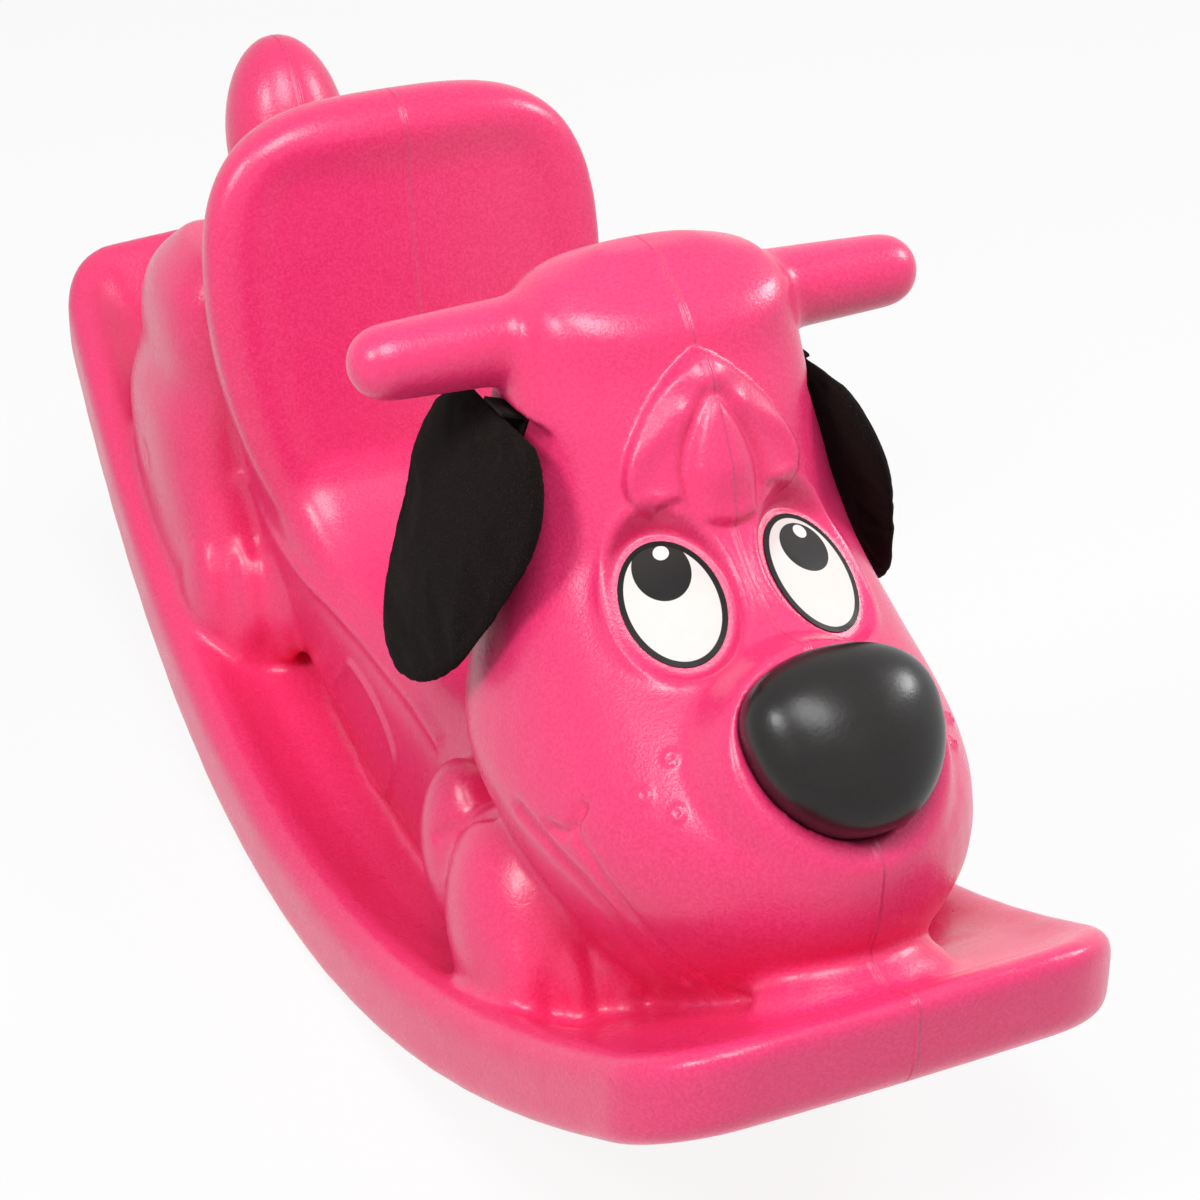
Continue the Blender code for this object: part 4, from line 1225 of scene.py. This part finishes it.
def build_skin():
    """The moulding: its blank, the seats and recesses cut in it, and its fine relief."""
    skin = linked("dog_moulding", moulding_blank())
    remeshed(skin, BLANK_VOXEL, BLANK_ROUNDING)
    points = points_of(skin.data)
    for side in (1, -1):
        seat_eye(points, side, 0.0)
    flatten(points, NOSE_SEAT, nose_axes(), NOSE_HALF_WIDTH, NOSE_HALF_LENGTH, NOSE_EASE)
    set_points(skin.data, points)
    cut(skin, nose_rings(NOSE_GAP, -NOSE_SINK - NOSE_GAP, POCKET_ROWS, POCKET_POINTS))
    for side in (1, -1):
        cut(skin, recess_rings(side))
    remeshed(skin, SKIN_VOXEL, SKIN_ROUNDING)
    add_relief(skin.data)
    soften(skin, RELIEF_ROUNDING)
    lowered(skin)
    skin.data.shade_smooth()
    skin.data.materials.append(plastic_surface())
    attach(skin, "body")
    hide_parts("body_moulding")


# Eyes and nose


def build_eye(side):
    """A label with a slightly crowned face, in its own coordinates so that its print fits it."""
    word = "left" if side > 0 else "right"
    across, along, facing = eye_axes(side)
    sizes = [(1.0, -LABEL_THICKNESS), (1.0, 0.0)]
    for k in range(1, LABEL_RINGS + 1):
        share = 1 - k / (LABEL_RINGS + 0.5)
        sizes.append((share, EYE_CROWN * (1 - share**2)))
    turns = [2 * math.pi * i / LABEL_POINTS for i in range(LABEL_POINTS)]
    rings = []
    for size, height in sizes:
        half_x, half_y = EYE_HALF_WIDTH * size, EYE_HALF_HEIGHT * size
        rings.append([(half_x * math.cos(a), half_y * math.sin(a), height) for a in turns])
    bm = bmesh.new()
    add_loft(bm, rings)
    mesh = mesh_of(bm, "eye_" + word)
    mesh.shade_smooth()
    mesh.set_sharp_from_angle(angle=LABEL_SHARP_ANGLE)
    mesh.materials.append(eye_surface(side))
    eye = linked("eye_print_" + word, mesh)
    turn = Matrix((across * side, along, facing)).transposed().to_4x4()
    place = mirrored(EYE_PLACE, side) - Vector((0, 0, FLOOR))
    eye.matrix_world = Matrix.Translation(place) @ turn
    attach(eye, "body")
    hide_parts("eye_label_" + word)


def build_nose():
    """The nose's dome, closed over its seat."""
    bm = bmesh.new()
    add_loft(bm, nose_rings(0.0, -NOSE_SINK, NOSE_ROWS, NOSE_POINTS))
    mesh = mesh_of(bm, "nose")
    mesh.shade_smooth()
    mesh.materials.append(nose_surface())
    nose = lowered(linked("nose_dome", mesh))
    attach(nose, "body")
    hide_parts("nose_cap")


# Ears


def ear_blank():
    """Two panels that share their seam: points (along, down, out), faces and distance inside it."""
    outline = ear_outline(EAR_SEAM_POINTS)
    edge = np.array(outline)
    low, high = edge.min(0), edge.max(0)
    rise = EAR_STEP * math.sqrt(3) / 2
    inner = []
    for r in range(int((high[1] - low[1]) / rise) + 1):
        for c in range(int((high[0] - low[0]) / EAR_STEP) + 1):
            inner.append((low[0] + (c + 0.5 * (r % 2)) * EAR_STEP, low[1] + r * rise))
    inner = np.array(inner)
    inner = inner[inside_by(inner, outline) > EAR_SEAM_CLEARANCE * EAR_STEP]
    n = len(outline)
    flat = [Vector(p) for p in outline] + [Vector(p) for p in inner]
    edges = [(i, (i + 1) % n) for i in range(n)]
    verts, _, faces, _, _, _ = delaunay_2d_cdt(flat, edges, [], 1, 1e-6)
    verts = np.array([tuple(v) for v in verts])
    away = np.abs(inside_by(verts, outline))
    on_seam = away < ON_SEAM
    back = np.arange(len(verts))
    back[~on_seam] = len(verts) + np.arange((~on_seam).sum())
    share = np.clip(away / EAR_SWELL_REACH, 0, 1)
    swell = EAR_SEAM_HALF + (EAR_FLAT_HALF - EAR_SEAM_HALF) * np.sqrt(1 - (1 - share) ** 2)
    swell[on_seam] = 0
    top = np.column_stack([verts, swell])
    bottom = np.column_stack([verts, -swell])[~on_seam]
    all_faces = [tuple(f) for f in faces]
    all_faces += [tuple(int(back[i]) for i in reversed(f)) for f in faces]
    return np.vstack([top, bottom]), all_faces, np.concatenate([away, away[~on_seam]])


def stuff(obj, held):
    """Blows the sewn panels up as their stuffing does, and keeps each point near its start."""
    group = obj.vertex_groups.new(name="held")
    group.add([int(i) for i in held], 1.0, "REPLACE")
    start = points_of(obj.data)
    cloth = obj.modifiers.new("stuffing", "CLOTH")
    for name, value in STUFFING.items():
        setattr(cloth.settings, name, value)
    cloth.settings.vertex_group_mass = "held"
    cloth.settings.use_pressure = True
    cloth.settings.effector_weights.gravity = 0
    cloth.point_cache.frame_start = 1
    cloth.point_cache.frame_end = STUFFING_FRAMES
    for step in range(1, STUFFING_FRAMES + 1):
        bpy.context.scene.frame_set(step)
    applied(obj)
    bpy.context.scene.frame_set(1)
    moved = points_of(obj.data) - start
    length = np.linalg.norm(moved, axis=1)
    moved *= np.minimum(1, EAR_CAP / np.maximum(length, 1e-9))[:, None]
    set_points(obj.data, start + moved)


def press_folds(mesh, side):
    """The small folds by the ear's seams, and room for what lies behind it."""
    points, normals = points_of(mesh), normals_of(mesh)
    axes = ear_points(side, np.array([[0, 0, 0], [1, 0, 0], [0, 1, 0], [0, 0, 1]], float))
    to_flat = (axes[1:] - axes[0]).T
    flat = (points - axes[0]) @ to_flat
    for depth, width, line in EAR_FOLDS[side]:
        path = [(y, down, EAR_OUTWARD * EAR_FOLD_PLACE) for y, down in line]
        points -= normals * soft_line(flat, path, depth, width)[:, None]
    flat = (points - axes[0]) @ to_flat
    flat[:, 2] = np.clip(flat[:, 2], -EAR_INWARD, EAR_OUTWARD)
    set_points(mesh, ear_points(side, flat))


def build_ear(side, material):
    word = "left" if side > 0 else "right"
    flat, faces, inside = ear_blank()
    blank = bpy.data.meshes.new("blank")
    blank.from_pydata([tuple(p) for p in ear_points(side, flat)], [], faces)
    bm = bmesh.new()
    bm.from_mesh(blank)
    bpy.data.meshes.remove(blank)
    ear = linked("ear_pad_" + word, mesh_of(bm, "ear_" + word))
    stuff(ear, np.flatnonzero(inside < ON_SEAM))
    fine = ear.modifiers.new("fine", "SUBSURF")
    fine.levels = 1
    fine.render_levels = 1
    applied(ear)
    press_folds(ear.data, side)
    lowered(ear)
    ear.data.shade_smooth()
    ear.data.materials.append(material)
    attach(ear, "ear_" + word)
    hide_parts("ear_" + word)


def dress(nodes, prefix, material):
    """Gives the CAD nodes whose names start so a finished material."""
    for name, node in nodes.items():
        if name.startswith(prefix):
            node.data.materials.clear()
            node.data.materials.append(material)


def main():
    bpy.context.scene.view_settings.view_transform = "Standard"
    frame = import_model()
    add_camera()
    set_world()
    add_floor()
    for lamp in LAMPS:
        add_lamp(*lamp)
    build_skin()
    build_nose()
    velour = velour_surface()
    for side in (1, -1):
        build_eye(side)
        build_ear(side, velour)
    dress(frame["nodes"], "ear_tab", tab_surface())
    steel = steel_surface()
    dress(frame["nodes"], "ear_screw", steel)
    dress(frame["nodes"], "ear_washer", steel)


main()
